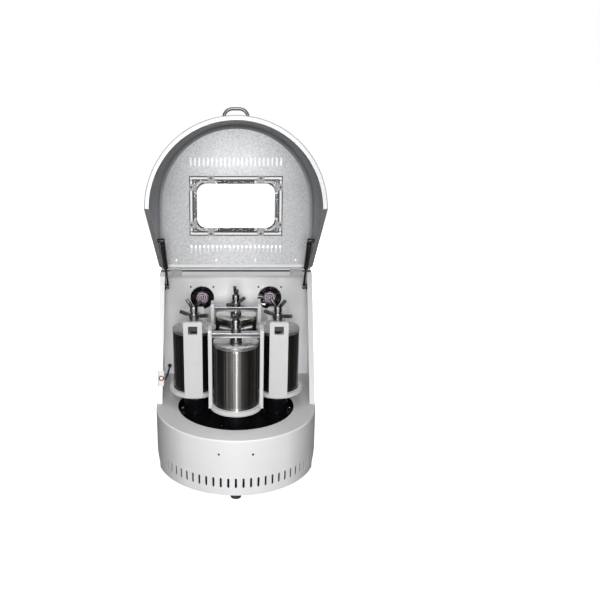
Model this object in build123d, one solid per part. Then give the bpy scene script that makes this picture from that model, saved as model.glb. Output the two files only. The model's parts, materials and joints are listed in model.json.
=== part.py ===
"""Planetary ball mill with its lid open: four clamped jars on a turntable in a D-shaped housing."""

import os
from math import asin, atan2, cos, degrees, hypot, radians, sin, sqrt, tan

from build123d import *

# Overall sizes of the housing, in millimetres
drum_r = 235
overall_depth = 750
foot_h = 30
drum_h = 165
upper_h = 360
hinge_run = 198
back_wall_run = 239

# Sheet metal and the fits that every piece shares
sheet = 2
edge_r = 12
deck_edge_r = 4
overrun = 6
seat_gap = 0.3
run_fit = 0.08
lid_gap = 3

# Places worked out from the overall sizes: the drum's axis, the deck, the top and the hinge
axis_y = drum_r - overall_depth / 2
rear_y = overall_depth / 2
deck_z = foot_h + drum_h
top_z = deck_z + upper_h
back_wall_y = axis_y + back_wall_run
slant = atan2(hinge_run, upper_h)
slant_shift = 1 / cos(slant)

# Housing: flanges, deck hole, side recesses and vents
side_flange_w = 16
top_flange_h = 18
deck_hole_r = 171
deck_lip = 2.5
recess_depth = 13
recess_flat_h = 15
recess_h = 47
recess_back = 60
vent_count = 25
vent_pitch_deg = 5.07
vent_w = 6
vent_h = 29
vent_mid = 37.5
louvre_count = 9
louvre_len = 90
louvre_w = 6
louvre_pitch = 16
louvre_mid_run = 400
louvre_base = 60
rear_louvre_x = 60

# Chamber back wall, rear panel, base plate and feet
fan_x = 107
fan_top_gap = 101
fan_hole_r = 37.5
fan_size = 80
fan_pitch = 71.5
fan_depth = 25
rear_inset = 8
base_t = 4
foot_r = 18
foot_tip_r = 15
foot_front_gap = 45
foot_side_gap = 55
foot_side_run = 60
foot_rear_inset = 60

# Lid: rim flange, liner tray and vents
rim_w = 12
lid_flange_w = 13
open_deg = 96.85
liner_inset = 14
liner_t = 1.2
liner_space = 8
liner_back_inset = 14
lid_vent_count = 22
lid_vent_pitch = 12.9
lid_vent_w = 5
lid_vent_len = 25
lid_vent_row = 131

# Window: opening, gasket, pane, bars and clamps
window_w = 235
window_d = 132
window_r = 28
window_shift = 6
gasket_w = 13.5
gasket_edge_w = 4
gasket_long = 112
gasket_short = 72
gasket_t = 3
pane_t = 4
bar_w = 12
bar_t = 7
bar_gap = 0.8
clamp_w = 20
clamp_len = 22
clamp_t = 2
clamp_screw_r = 3.5
clamp_screw_h = 2
clamp_x = 75
clamp_y = 56

# Lid handle
handle_half = 33
handle_out = 33
handle_bend_r = 24
handle_bar_r = 4.5
handle_drop = 190
handle_foot_r = 8
handle_foot_h = 4

# Hinges
hinge_side_gap = 30.5
hinge_len = 38.5
leaf_t = 1.3
knuckle_r = 4
knuckle_lift = 4.5
hinge_pin_r = 2
pin_head_r = 2.9
pin_head_h = 1
leaf_top_gap = 0.2

# Gas struts: pivots measured from the hinge axis and the slanted edge, in the closed lid
strut_side_gap = 25
strut_lid_drop = 154
strut_lid_edge_gap = 15.3
strut_body_fwd = 4
strut_body_drop = 56.5
cylinder_r = 7.5
cylinder_len = 116
cylinder_start = 12
strut_rod_r = 3.5
eye_r = 7
eye_t = 7
stud_r = 3.4
stud_shoulder_r = 5.5
stud_head_r = 5.5
stud_head_t = 2.5
bracket_t = 3
bracket_h = 36
bracket_w = 22
boss_r = 10
lid_boss_r = 9.5
rod_pin_r = 3.5

# Interlock switch on the left slanted flange; its cable's bends as (in from the side, back, up)
switch_rise = 67
switch_w = 18
switch_len = 45
switch_depth = 18
switch_proud = 1
switch_wall_gap = 1
plunger_r = 3
plunger_proud = 1.4
plunger_len = 8
plunger_travel = 1.5
cable_r = 2.5
grommet_r = 6.5
grommet_t = 2
grommet_side_gap = 19
grommet_rise = 28
cable_stub = 16
cable_bend_share = 0.45
cable_route = [(14, 90, 38), (16, 128, 29), (18, 170, 26), (19, 210, 27)]

# Turntable and its drive
pitch_r = 120
table_r = 163
table_t = 12
table_drop = 26
table_hub_r = 45
table_hub_h = 12
pit_wall_gap = 2
pit_wall_t = 1.5
pit_wall_h = 48
main_shaft_r = 15
shaft_cap_r = 24
shaft_cap_h = 10
bearing_tube_r = 32
bearing_flange_r = 55
bearing_flange_h = 10
plate_t = 10
plate_drop = 115
plate_overhang = 35
plate_front = 150
plate_margin = 25
post_r = 10
shaft_tail = 5
main_pulley_r = 85
motor_pulley_r = 34
pulley_h = 20
pulley_gap = 7
pulley_web = 3
belt_t = 3
belt_w = 8
drive_belt_w = 14
motor_run_share = 0.33
motor_r_share = 0.225
motor_h = 210
motor_shaft_r = 9.5
motor_flange_step = 13
motor_flange_h = 10
fin_count = 18
fin_depth = 5
fin_w = 3
drive_ratio = 2
planet_pulley_r = 24
groove_depth = 4

# Bearing housings under the carriers
housing_flange_r = 46
housing_flange_h = 9
housing_body_r = 33
housing_top = 28
housing_spigot_r = 30
housing_spigot_h = 16
bolt_ring_r = 39.5
bolt_r = 4
bolt_h = 5
spindle_r = 12.5

# Jar carriers: dish, hub and posts
dish_r = 74
dish_wall = 10.5
dish_rise = 47
dish_h = 16
dish_floor = 6
dish_foot_r = 7
hub_r = 26
hub_tip_r = 18
hub_h = 10
post_out = 75
post_t = 10
post_w = 52
post_top = 280
post_corner_r = 5
beam_hole_w = 26
beam_hole_h = 24
beam_hole_rise = 256

# Milling jars
jar_r = 62
jar_wall = 5
jar_base = 6
jar_lid_r = 62.5
jar_top = 242
jar_lid_t = 9
jar_gasket_t = 2
jar_plug_h = 8
jar_foot_r = 3

# Clamps: cross beam, screw with two raised arms and lock nut with two arms
beam_half = 73
beam_w = 24
beam_t = 14
beam_edge_r = 1.5
pad_r = 16
pad_h = 8
screw_r = 8
nut_r = 14
nut_h = 14
nut_arm_r = 3.5
nut_grip_r = 5.5
nut_reach = 46
nut_grip_start = 20
nut_raise_deg = 11
screw_hub_r = 11
screw_hub_h = 16
screw_hub_gap = 5
arm_r = 3.5
arm_grip_r = 5
arm_reach = 36
arm_grip_start = 12
arm_raise_deg = 52

# Rear: control unit, inlet and switch
unit_w = 130
unit_h = 180
unit_depth = 100
unit_side_gap = 50
unit_rise = 130
unit_face_inset = 12
unit_face_r = 6
screen_w = 70
screen_h = 36
screen_rise_share = 0.28
key_count = 3
key_r = 8
key_pitch = 28
key_drop_share = 0.2
key_h = 0.8
inlet_w = 50
inlet_h = 30
inlet_depth = 25
inlet_side_gap = 85
inlet_rise = 45
inlet_flange = 5
inlet_flange_t = 2.5
inlet_pin_w = 2
inlet_pin_h = 5
inlet_pin_len = 15
inlet_pin_pitch = 7
rocker_w = 12
rocker_h = 22
rocker_depth = 14
rocker_rise = 95
rocker_frame = 4
rocker_tilt_deg = 8
rocker_out = 1.5
screw_head_r = 3
screw_head_h = 1.6
skirt_screw_x = 46
skirt_screw_drop = 42

# Fans: hub, blades and spokes
hub_share = 0.54
blade_count = 7
blade_t = 1.5
blade_pitch_deg = 35
fan_tip_gap = 1.5
fan_corner_r = 5
spoke_w = 4

# Station angles about the turntable, and how each clamp's arms lie, in degrees
stations = {"left": 180, "front": 270, "right": 0, "back": 90}
nut_arm_degs = {"left": 155, "front": 4, "right": 146, "back": 55}
screw_arm_degs = {"left": 165, "front": 68, "right": 155, "back": 100}

# Heights and places that several pieces share
hinge_y = axis_y + hinge_run
hinge_z = top_z + knuckle_lift
flange_half_gap = leaf_t + leaf_top_gap
liner_z = top_z - sheet - liner_space
table_z = deck_z - table_drop
plate_top_z = deck_z - plate_drop
level_h = belt_w + 2 * seat_gap + pulley_web
pulley_top_z = plate_top_z - plate_t - pulley_gap
bearing_face_z = plate_top_z + bearing_flange_h + seat_gap
beam_top_z = deck_z + beam_hole_rise + beam_hole_h / 2
jar_floor_z = deck_z + dish_rise + dish_floor
jar_lid_z = deck_z + jar_top - jar_lid_t
nut_top_z = beam_top_z + seat_gap + nut_h
wall_face_x = drum_r - sheet
fan_rise = upper_h - fan_top_gap
strut_x = drum_r - strut_side_gap
strut_lid_fwd = strut_lid_drop * tan(slant) + strut_lid_edge_gap
hinge_out_x = drum_r - hinge_side_gap
hinge_in_x = hinge_out_x - hinge_len
grommet_x = drum_r - grommet_side_gap
unit_x = drum_r - unit_side_gap - unit_w / 2
inlet_x = drum_r - inlet_side_gap
motor_space = overall_depth - drum_r - back_wall_run
motor_run = back_wall_run + motor_run_share * motor_space
motor_r = motor_r_share * motor_space
motor_flange_r = motor_r + motor_flange_step
plate_half_w = main_pulley_r + plate_overhang
plate_back = motor_run + motor_flange_r + plate_margin
window_y = axis_y + window_shift
sun_pulley_r = drive_ratio * (planet_pulley_r + seat_gap + belt_t / 2) - seat_gap - belt_t / 2


def slab(x0, x1, y0, y1, z0, z1):
    """A box between two corners."""
    return Pos((x0 + x1) / 2, (y0 + y1) / 2, (z0 + z1) / 2) * Box(x1 - x0, y1 - y0, z1 - z0)


def disc(r, z0, z1, x=0, y=0):
    """An upright cylinder between two heights."""
    return Pos(x, y, (z0 + z1) / 2) * Cylinder(r, z1 - z0)


def ring(r_out, r_in, z0, z1, x=0, y=0):
    """An upright tube between two heights."""
    return disc(r_out, z0, z1, x, y) - disc(r_in, z0 - overrun, z1 + overrun, x, y)


def bar_x(r, x0, x1, y, z):
    """A cylinder along X."""
    return Pos((x0 + x1) / 2, y, z) * Rot(0, 90, 0) * Cylinder(r, x1 - x0)


def bar_y(r, y0, y1, x, z):
    """A cylinder along Y."""
    return Pos(x, (y0 + y1) / 2, z) * Rot(90, 0, 0) * Cylinder(r, y1 - y0)


def panel_at(x, z, w, h, y0, y1):
    """An upright panel centred at (x, z), between two depths."""
    return slab(x - w / 2, x + w / 2, y0, y1, z - h / 2, z + h / 2)


def rounded_slab(w, d, r, z0, z1, x=0, y=0):
    """An upright plate with rounded corners."""
    return extrude(Pos(x, y, z0) * RectangleRounded(w, d, r), z1 - z0)


def group(*shapes):
    """Separate solids in one node."""
    return Compound(children=[s for shape in shapes for s in shape.solids()])


def mirrored(shape):
    """The same shape on the other side of the middle plane."""
    return mirror(shape, about=Plane.YZ)


def d_prism(r, back_y, z0, z1):
    """The D-shaped plan: a half disc about the drum's axis with straight sides to back_y."""
    arc = ThreePointArc((-r, axis_y), (0, axis_y - r), (r, axis_y))
    sides = Polyline((r, axis_y), (r, back_y), (-r, back_y), (-r, axis_y))
    return extrude(Pos(0, 0, z0) * make_face(arc + sides), z1 - z0, dir=(0, 0, 1))


def side_prism(half_w, points):
    """A prism across the machine from a side outline of (y, z) points."""
    outline = Polyline(*[(-half_w, y, z) for y, z in points], close=True)
    return extrude(make_face(outline), 2 * half_w, dir=(1, 0, 0))


def slant_y(z, offset=0):
    """Where the slanted edge of the side panels is at height z, moved back square to itself by offset."""
    return axis_y + (z - deck_z) * tan(slant) + offset * slant_shift


def rounded_top(prism, r):
    """Rounds the two long top edges of a side prism."""
    edges = prism.edges().filter_by(Axis.Y).group_by(Axis.Z)[-1]
    return fillet(edges, r)


# Housing


def recess_cut(inset):
    """What the hand recess takes off the drum's right side."""
    flat_x, side_x = drum_r - recess_depth - inset, drum_r - inset
    low, knee, high = foot_h - overrun, foot_h + recess_flat_h, foot_h + recess_h
    points = [(flat_x, low), (flat_x, knee + inset), (side_x, high + inset)]
    points += [(drum_r + overrun, high + inset), (drum_r + overrun, low)]
    face = make_face(Polyline(*[(x, axis_y - drum_r, z) for x, z in points], close=True))
    return extrude(face, drum_r + recess_back + inset, dir=(0, 1, 0))


def drum_prism(inset, back_y, z0, z1):
    """The lower housing's solid, drawn in by inset all round, with its hand recesses."""
    cut = recess_cut(inset)
    return d_prism(drum_r - inset, back_y, z0, z1) - cut - mirrored(cut)


def front_rounding():
    """What rounding the deck's front edge takes off."""
    corner = disc(drum_r + overrun, deck_z - deck_edge_r, deck_z + overrun, y=axis_y)
    kept = disc(drum_r, deck_z - 2 * deck_edge_r, deck_z, y=axis_y)
    kept = fillet(kept.edges().group_by(Axis.Z)[-1], deck_edge_r)
    front = slab(-2 * drum_r, 2 * drum_r, axis_y - 2 * drum_r, axis_y, 0, top_z)
    return (corner - kept) & front


def upper_prism(inset, z0, back_y):
    """The upper housing's solid between the slanted edge and back_y."""
    high = top_z - inset
    points = [(slant_y(z0, inset), z0), (slant_y(high, inset), high), (back_y, high), (back_y, z0)]
    return rounded_top(side_prism(drum_r - inset, points), edge_r - inset)


def drum_vents():
    """Upright slots round the drum's lower edge."""
    slot = SlotCenterToCenter(vent_h - vent_w, vent_w, rotation=90)
    cutter = Pos(0, -drum_r + 3 * sheet, foot_h + vent_mid) * extrude(Plane.XZ * slot, 6 * sheet)
    first = -(vent_count - 1) / 2
    return [Pos(0, axis_y, 0) * Rot(0, 0, (first + n) * vent_pitch_deg) * cutter for n in range(vent_count)]


def side_louvres():
    """Level slots through both side panels beside the motor."""
    slot = SlotOverall(louvre_len, louvre_w)
    cutter = Pos(-drum_r - overrun, 0, 0) * extrude(Plane.YZ * slot, 2 * (drum_r + overrun))
    y = axis_y + louvre_mid_run
    return [Pos(0, y, deck_z + louvre_base + n * louvre_pitch) * cutter for n in range(louvre_count)]


def housing_shell():
    """Welded shell: drum skin, deck, side panels with slanted flanges and the top."""
    outer = drum_prism(0, rear_y, foot_h, deck_z) - front_rounding() + upper_prism(0, deck_z, rear_y)
    open_y = rear_y + overrun
    deck_back = back_wall_y + sheet + seat_gap
    shell = outer - drum_prism(sheet, open_y, foot_h - overrun, deck_z - sheet)
    shell -= upper_prism(sheet, deck_z, open_y)
    shell -= slab(-wall_face_x, wall_face_x, deck_back, open_y, deck_z - 2 * sheet, deck_z + sheet)
    mouth_x, mouth_y = drum_r - side_flange_w, hinge_y + flange_half_gap
    shell -= slab(-mouth_x, mouth_x, axis_y - overrun, mouth_y, deck_z, top_z + overrun)
    shell += slab(-mouth_x, mouth_x, mouth_y, mouth_y + sheet, top_z - top_flange_h, top_z - sheet / 2)
    lip_base = deck_z - sheet - deck_lip
    shell += ring(deck_hole_r + sheet, deck_hole_r, lip_base, deck_z - sheet / 2, y=axis_y)
    shell -= disc(deck_hole_r, deck_z - 3 * sheet, deck_z + sheet, y=axis_y)
    shell -= drum_vents() + side_louvres()
    return shell - switch_notch()


def pit_wall():
    """Black ring under the deck's hole."""
    r = deck_hole_r + sheet + pit_wall_gap
    top = deck_z - sheet
    flange = ring(r + 3 * pit_wall_gap, r, top - pit_wall_t, top, y=axis_y)
    return flange + ring(r + pit_wall_t, r, top - pit_wall_h, top, y=axis_y)


def fan_places():
    """The two fans' centres on the back wall."""
    return [(side * fan_x, deck_z + fan_rise) for side in (-1, 1)]


def fan_screw_places(x, z):
    """The four screws round one fan."""
    half = fan_pitch / 2
    return [(x + i * half, z + k * half) for i in (-1, 1) for k in (-1, 1)]


def chamber_back_wall():
    """Plate between the milling chamber and the motor space."""
    front, back = back_wall_y, back_wall_y + sheet
    half = wall_face_x - seat_gap
    low, high = deck_z + seat_gap, top_z - sheet - seat_gap
    wall = rounded_top(slab(-half, half, front, back, low, high), edge_r - sheet)
    for x, z in fan_places():
        wall -= bar_y(fan_hole_r, front - overrun, back + overrun, x, z)
        for sx, sz in fan_screw_places(x, z):
            wall -= bar_y(screw_head_r / 2 + run_fit, front - overrun, back + overrun, sx, sz)
    hole = bar_y(grommet_r - grommet_t, front - overrun, back + overrun, -grommet_x, deck_z + grommet_rise)
    return wall - hole


def rear_panel():
    """Screwed panel that closes the back, with openings for the control unit, inlet and switch."""
    back = rear_y - rear_inset
    front = back - sheet
    half = wall_face_x - seat_gap
    lower = slab(-half, half, front, back, foot_h + base_t + seat_gap, top_z - sheet - seat_gap)
    panel = rounded_top(lower, edge_r - sheet)
    fit = 2 * seat_gap
    for x, z, w, h in (
        (-unit_x, deck_z + unit_rise, unit_w - 2 * unit_face_inset, unit_h - 2 * unit_face_inset),
        (inlet_x, foot_h + inlet_rise, inlet_w + fit, inlet_h + fit),
        (inlet_x, foot_h + rocker_rise, rocker_w + rocker_frame + fit, rocker_h + rocker_frame + fit),
    ):
        panel -= panel_at(x, z, w, h, front - sheet, back + sheet)
    slot = extrude(Plane.XZ * SlotOverall(louvre_len, louvre_w), 4 * sheet)
    low = deck_z + louvre_base
    rows = [Pos(rear_louvre_x, back + sheet, low + n * louvre_pitch) * slot for n in range(louvre_count)]
    return panel - rows


def base_plate():
    """Floor of the machine, inside the shell."""
    inset = sheet + seat_gap
    return drum_prism(inset, rear_y - rear_inset, foot_h, foot_h + base_t)


def foot_places():
    """Five feet: one in front, two beside the drum and two at the back."""
    rear = rear_y - foot_rear_inset
    side = axis_y + foot_side_run
    half = drum_r - foot_side_gap
    pairs = [(x, y) for y in (side, rear) for x in (-half, half)]
    return [(0, axis_y - drum_r + foot_front_gap), *pairs]


def rubber_feet():
    """Tapered rubber feet."""
    foot = Pos(0, 0, foot_h / 2) * Cone(foot_tip_r, foot_r, foot_h)
    return group(*[Pos(x, y, 0) * foot for x, y in foot_places()])


def pan_head(x, z, y, facing):
    """A low round screw head on an upright face, standing out along facing."""
    tip = y + facing * screw_head_h
    return bar_y(screw_head_r, min(y, tip), max(y, tip), x, z)


def panel_screws():
    """Heads of the fan screws, the skirt screws and the rear panel screws."""
    heads = []
    for x, z in fan_places():
        heads += [pan_head(sx, sz, back_wall_y, -1) for sx, sz in fan_screw_places(x, z)]
    rim = disc(drum_r, 0, top_z, y=axis_y)
    for x in (-skirt_screw_x, skirt_screw_x):
        y = axis_y - sqrt(drum_r**2 - x**2)
        head = bar_y(screw_head_r, y - screw_head_h, y + screw_head_r, x, deck_z - skirt_screw_drop)
        heads.append(head - rim)
    edge = edge_r + screw_head_r
    for x in (-wall_face_x + edge, 0, wall_face_x - edge):
        heads += [pan_head(x, z, rear_y - rear_inset, 1) for z in (foot_h + edge, deck_z, top_z - edge)]
    return group(*heads)


# Machine frame, bearings and motor


def post_places():
    """The machine plate's posts."""
    xs, front, back = plate_half_w - 2 * post_r, axis_y - plate_front / 3, axis_y + plate_back - 2 * post_r
    return [(x, y) for x in (-xs, xs) for y in (front, (front + back) / 2, back)]


def machine_frame():
    """Thick plate that carries the main bearing and the motor, on posts."""
    low = plate_top_z - plate_t
    front, back = axis_y - plate_front, axis_y + plate_back
    plate = slab(-plate_half_w, plate_half_w, front, back, low, plate_top_z)
    plate = fillet(plate.edges().filter_by(Axis.Z), edge_r)
    plate -= disc(main_shaft_r + sheet, low - overrun, plate_top_z + overrun, y=axis_y)
    plate -= disc(motor_shaft_r + sheet, low - overrun, plate_top_z + overrun, y=axis_y + motor_run)
    posts = [disc(post_r, foot_h + base_t, low, x, y) for x, y in post_places()]
    return group(plate, *posts)


def grooved_pulley(r, bore_r, z0, levels, height, flange_t, y):
    """A pulley of several grooves, one above another, each between two flanges."""
    top = z0 + levels * height + flange_t
    pulley = ring(r, bore_r, z0, top, y=y)
    for n in range(levels + 1):
        low = z0 + n * height
        pulley += ring(r + groove_depth, bore_r, low, low + flange_t, y=y)
    return pulley


def drive_pulley(r, bore_r, y):
    """One pulley of the motor's belt drive."""
    low, groove = pulley_top_z - pulley_h, pulley_h - pulley_web
    return grooved_pulley(r, bore_r, low, 1, groove, pulley_web, y)


def main_bearing():
    """Bearing housing bolted to the plate, with the still sun pulley round it."""
    top = plate_top_z + bearing_flange_h + seat_gap + len(stations) * level_h + pulley_web
    tube = disc(bearing_tube_r, plate_top_z, top, y=axis_y)
    tube += disc(bearing_flange_r, plate_top_z, plate_top_z + bearing_flange_h, y=axis_y)
    tube -= disc(main_shaft_r + run_fit, plate_top_z - overrun, top + overrun, y=axis_y)
    bore = bearing_tube_r + seat_gap
    sun = grooved_pulley(sun_pulley_r, bore, bearing_face_z, len(stations), level_h, pulley_web, axis_y)
    return group(tube, sun)


def main_shaft():
    """Shaft from the driven pulley up to the turntable's hub, with its cap."""
    tail = pulley_top_z - pulley_h - shaft_tail
    shaft = disc(main_shaft_r, tail, table_z + seat_gap, y=axis_y)
    cap = disc(shaft_cap_r, table_z + seat_gap, table_z + shaft_cap_h, y=axis_y)
    shaft += fillet(cap.edges().group_by(Axis.Z)[-1], sheet)
    return group(shaft, drive_pulley(main_pulley_r, main_shaft_r + run_fit, axis_y))


def motor():
    """Upright finned motor on the plate, shaft down."""
    y = axis_y + motor_run
    low, high = plate_top_z + motor_flange_h, plate_top_z + motor_h
    body = disc(motor_flange_r, plate_top_z, low, y=y) + disc(motor_r, low, high, y=y)
    fin = slab(motor_r - fin_depth, motor_r + fin_depth, -fin_w / 2, fin_w / 2, low, high - motor_r / 2)
    for n in range(fin_count):
        body += Pos(0, y, 0) * Rot(0, 0, n * 360 / fin_count) * fin
    cover = ring(motor_r + fin_depth, motor_r + fin_depth - sheet, high - motor_r / 2 + sheet, high, y=y)
    cover += disc(motor_r + fin_depth, high, high + sheet, y=y)
    return body + cover


def motor_pulley():
    """Motor shaft end with the driving pulley."""
    y = axis_y + motor_run
    shaft = disc(motor_shaft_r, pulley_top_z - pulley_h - shaft_tail, plate_top_z - seat_gap, y=y)
    return shaft + drive_pulley(motor_pulley_r, motor_shaft_r - run_fit, y)


def belt(r1, r2, distance, width):
    """A belt loop round a pulley at the origin and one at distance along X, from height 0 to width."""

    def loop(a, b):
        tilt = asin((a - b) / distance)
        corners = [(a * sin(tilt), a * cos(tilt)), (distance + b * sin(tilt), b * cos(tilt))]
        corners += [(x, -y) for x, y in reversed(corners)]
        return Circle(a) + Pos(distance, 0) * Circle(b) + make_face(Polyline(*corners, close=True))

    inner1, inner2 = r1 + seat_gap, r2 + seat_gap
    return extrude(loop(inner1 + belt_t, inner2 + belt_t) - loop(inner1, inner2), width)


def drive_belt():
    """Belt from the motor pulley to the main pulley."""
    groove = pulley_h - pulley_web - pulley_web
    low = pulley_top_z - pulley_h + pulley_web + (groove - drive_belt_w + seat_gap) / 2
    width = drive_belt_w - seat_gap
    return Pos(0, axis_y, low) * Rot(0, 0, 90) * belt(main_pulley_r, motor_pulley_r, motor_run, width)


# Turntable, bearing housings and planet belts


def station_at(angle):
    """The place of one station, with its X along the turntable's tangent."""
    a = radians(angle)
    return Pos(pitch_r * cos(a), axis_y + pitch_r * sin(a), 0) * Rot(0, 0, angle + 90)


def bearing_housing():
    """One carrier bearing housing and its bolts, at the origin."""
    low = table_z - table_t - housing_spigot_h
    body = disc(housing_spigot_r, low, table_z) + disc(housing_body_r, table_z, deck_z + housing_top)
    body += disc(housing_flange_r, table_z, table_z + housing_flange_h)
    body = fillet(body.edges().group_by(Axis.Z)[-1], sheet)
    body -= disc(spindle_r + run_fit, low - overrun, deck_z + housing_top + overrun)
    face = table_z + housing_flange_h
    bolt = Pos(0, 0, face) * extrude(RegularPolygon(bolt_r, 6), bolt_h)
    return [body] + [Rot(0, 0, n * 90) * Pos(bolt_ring_r, 0, 0) * bolt for n in range(4)]


def turntable():
    """Black turntable with the four bearing housings bolted in it."""
    table = disc(table_r, table_z - table_t, table_z, y=axis_y)
    table = fillet(table.edges().group_by(Axis.Z)[-1], sheet)
    hub_low = table_z - table_t - table_hub_h
    table += disc(table_hub_r, hub_low, table_z - table_t, y=axis_y)
    table -= disc(main_shaft_r + run_fit, hub_low - overrun, table_z + overrun, y=axis_y)
    housings = []
    for angle in stations.values():
        place = station_at(angle)
        table -= place * disc(housing_spigot_r + run_fit, table_z - 2 * table_t, table_z + overrun)
        housings += [place * solid for solid in bearing_housing()]
    return group(table, *housings)


def level_z(level):
    """The lower face of a belt at one level of the sun pulley."""
    return bearing_face_z + level * level_h + pulley_web + seat_gap


def planet_belts():
    """Four belts from the sun pulley to the spindles, one above another."""
    loops = []
    for level, angle in enumerate(stations.values()):
        loop = belt(sun_pulley_r, planet_pulley_r, pitch_r, belt_w)
        loops.append(Pos(0, axis_y, level_z(level)) * Rot(0, 0, angle) * loop)
    return group(*loops)


# One station: carrier, jar and clamp, made at the origin with the posts at plus and minus X


def carrier(level):
    """White dish with two flat posts, and the spindle with its pulley below."""
    base = deck_z + dish_rise
    dish = disc(dish_r, base, base + dish_h)
    dish = fillet(dish.edges().group_by(Axis.Z)[0], dish_foot_r)
    dish -= disc(dish_r - dish_wall, base + dish_floor, base + dish_h + overrun)
    dish += Pos(0, 0, base - hub_h / 2 + sheet / 2) * Cone(hub_tip_r, hub_r, hub_h + sheet)
    for side in (-1, 1):
        x0, x1 = sorted((side * (post_out - post_t), side * post_out))
        post = slab(x0, x1, -post_w / 2, post_w / 2, base + dish_foot_r, deck_z + post_top)
        dish += fillet(post.edges().filter_by(Axis.X).group_by(Axis.Z)[-1], post_corner_r)
    dish -= Pos(0, 0, deck_z + beam_hole_rise) * Box(4 * post_out, beam_hole_w, beam_hole_h)
    pulley_low = level_z(level) - seat_gap - pulley_web
    spindle = disc(spindle_r, pulley_low - sheet, base - hub_h)
    top = level_z(level) + belt_w + seat_gap
    spindle += disc(planet_pulley_r, pulley_low, top + pulley_web)
    for low in (pulley_low, top):
        spindle += disc(planet_pulley_r + groove_depth, low, low + pulley_web)
    return group(dish, spindle)


def jar():
    """Steel jar body with its gasket ring."""
    floor, top = jar_floor_z + seat_gap, jar_lid_z - jar_gasket_t
    body = disc(jar_r, floor, top)
    body = fillet(body.edges().group_by(Axis.Z)[0], jar_foot_r)
    body -= disc(jar_r - jar_wall, floor + jar_base, top + overrun)
    return group(body, ring(jar_r - sheet / 2, jar_r - jar_wall, top, jar_lid_z))


def jar_lid():
    """Steel jar lid with the plug that fits the jar."""
    top = jar_lid_z + jar_lid_t
    lid = disc(jar_lid_r, jar_lid_z, top)
    lid = fillet(lid.edges().group_by(Axis.Z)[-1], sheet / 2)
    plug_r = jar_r - jar_wall - seat_gap
    lid += disc(plug_r, jar_lid_z - jar_gasket_t - jar_plug_h, jar_lid_z)
    return lid - disc(plug_r - jar_wall, jar_lid_z - jar_gasket_t - jar_plug_h - overrun, jar_lid_z)


def cross_beam():
    """Steel bar through the posts' square holes, with the screw's hole."""
    low = beam_top_z - beam_t
    bar = slab(-beam_half, beam_half, -beam_w / 2, beam_w / 2, low, beam_top_z)
    bar = fillet(bar.edges().filter_by(Axis.X), beam_edge_r)
    return bar - disc(screw_r + run_fit, low - overrun, beam_top_z + overrun)


def arm(reach, r, grip_r, grip_start, raise_deg, z):
    """A rod that rises outwards along X from the axis at height z, with a thicker grip."""
    rod = Pos(0, 0, reach / 2) * Cylinder(r, reach)
    grip = Pos(0, 0, (reach + grip_start) / 2) * Cylinder(grip_r, reach - grip_start)
    grip = fillet(grip.edges(), grip_r / 3)
    return Pos(0, 0, z) * Rot(0, 90 - raise_deg, 0) * (rod + grip)


def two_arms(*sizes):
    """The same arm to both sides."""
    one = arm(*sizes)
    return one + Rot(0, 0, 180) * one


def lock_nut():
    """Lock nut on the beam with two low arms."""
    low = beam_top_z + seat_gap
    hub = disc(nut_r, low, nut_top_z)
    hub = fillet(hub.edges().group_by(Axis.Z)[-1], sheet)
    z = low + nut_grip_r
    nut = hub + two_arms(nut_reach, nut_arm_r, nut_grip_r, nut_grip_start, nut_raise_deg, z)
    return nut - disc(screw_r + run_fit, low - overrun, nut_top_z + overrun)


def clamp_screw():
    """Clamp screw with its raised arms on top and the pressure pad below."""
    pad_low = deck_z + jar_top + seat_gap
    pad = fillet(disc(pad_r, pad_low, pad_low + pad_h).edges(), sheet / 2)
    screw_low = pad_low + pad_h
    hub_low = nut_top_z + screw_hub_gap
    screw = disc(screw_r, screw_low, hub_low)
    hub = disc(screw_hub_r, hub_low, hub_low + screw_hub_h)
    screw += fillet(hub.edges(), sheet)
    z = hub_low + screw_hub_h / 2
    screw += two_arms(arm_reach, arm_r, arm_grip_r, arm_grip_start, arm_raise_deg, z)
    return group(screw, pad)


# Lid, made closed and then turned open


def opened(shape):
    """Turns a piece of the closed lid to its open rest."""
    return shape.rotate(Axis((0, hinge_y, hinge_z), (1, 0, 0)), -open_deg)


def below_slant(offset, high):
    """Everything behind and below the slanted edge, moved forward by offset."""
    low = deck_z - overrun
    far = hinge_y + overrun
    points = [(slant_y(low, -offset), low), (slant_y(high, -offset), high), (far, high), (far, low)]
    return side_prism(drum_r + overrun, points)


def lid_prism(inset, low, high, back_y):
    """The lid's solid, drawn in by inset, with its upper edge rounded."""
    prism = d_prism(drum_r - inset, back_y, low, high)
    edges = [e for e in prism.edges().group_by(Axis.Z)[-1] if e.center().Y < back_y - edge_r]
    return fillet(edges, edge_r - inset)


def window_cut(z0, z1):
    """The window's clear opening."""
    return rounded_slab(window_w, window_d, window_r, z0, z1, y=window_y)


def lid_vents(z0, z1):
    """Two rows of slots before and behind the window."""
    first = -(lid_vent_count - 1) / 2
    slot = extrude(Pos(0, 0, z0) * SlotOverall(lid_vent_len, lid_vent_w, rotation=90), z1 - z0)
    rows = (window_y - lid_vent_row, window_y + lid_vent_row)
    return [Pos((first + n) * lid_vent_pitch, y, 0) * slot for y in rows for n in range(lid_vent_count)]


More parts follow.
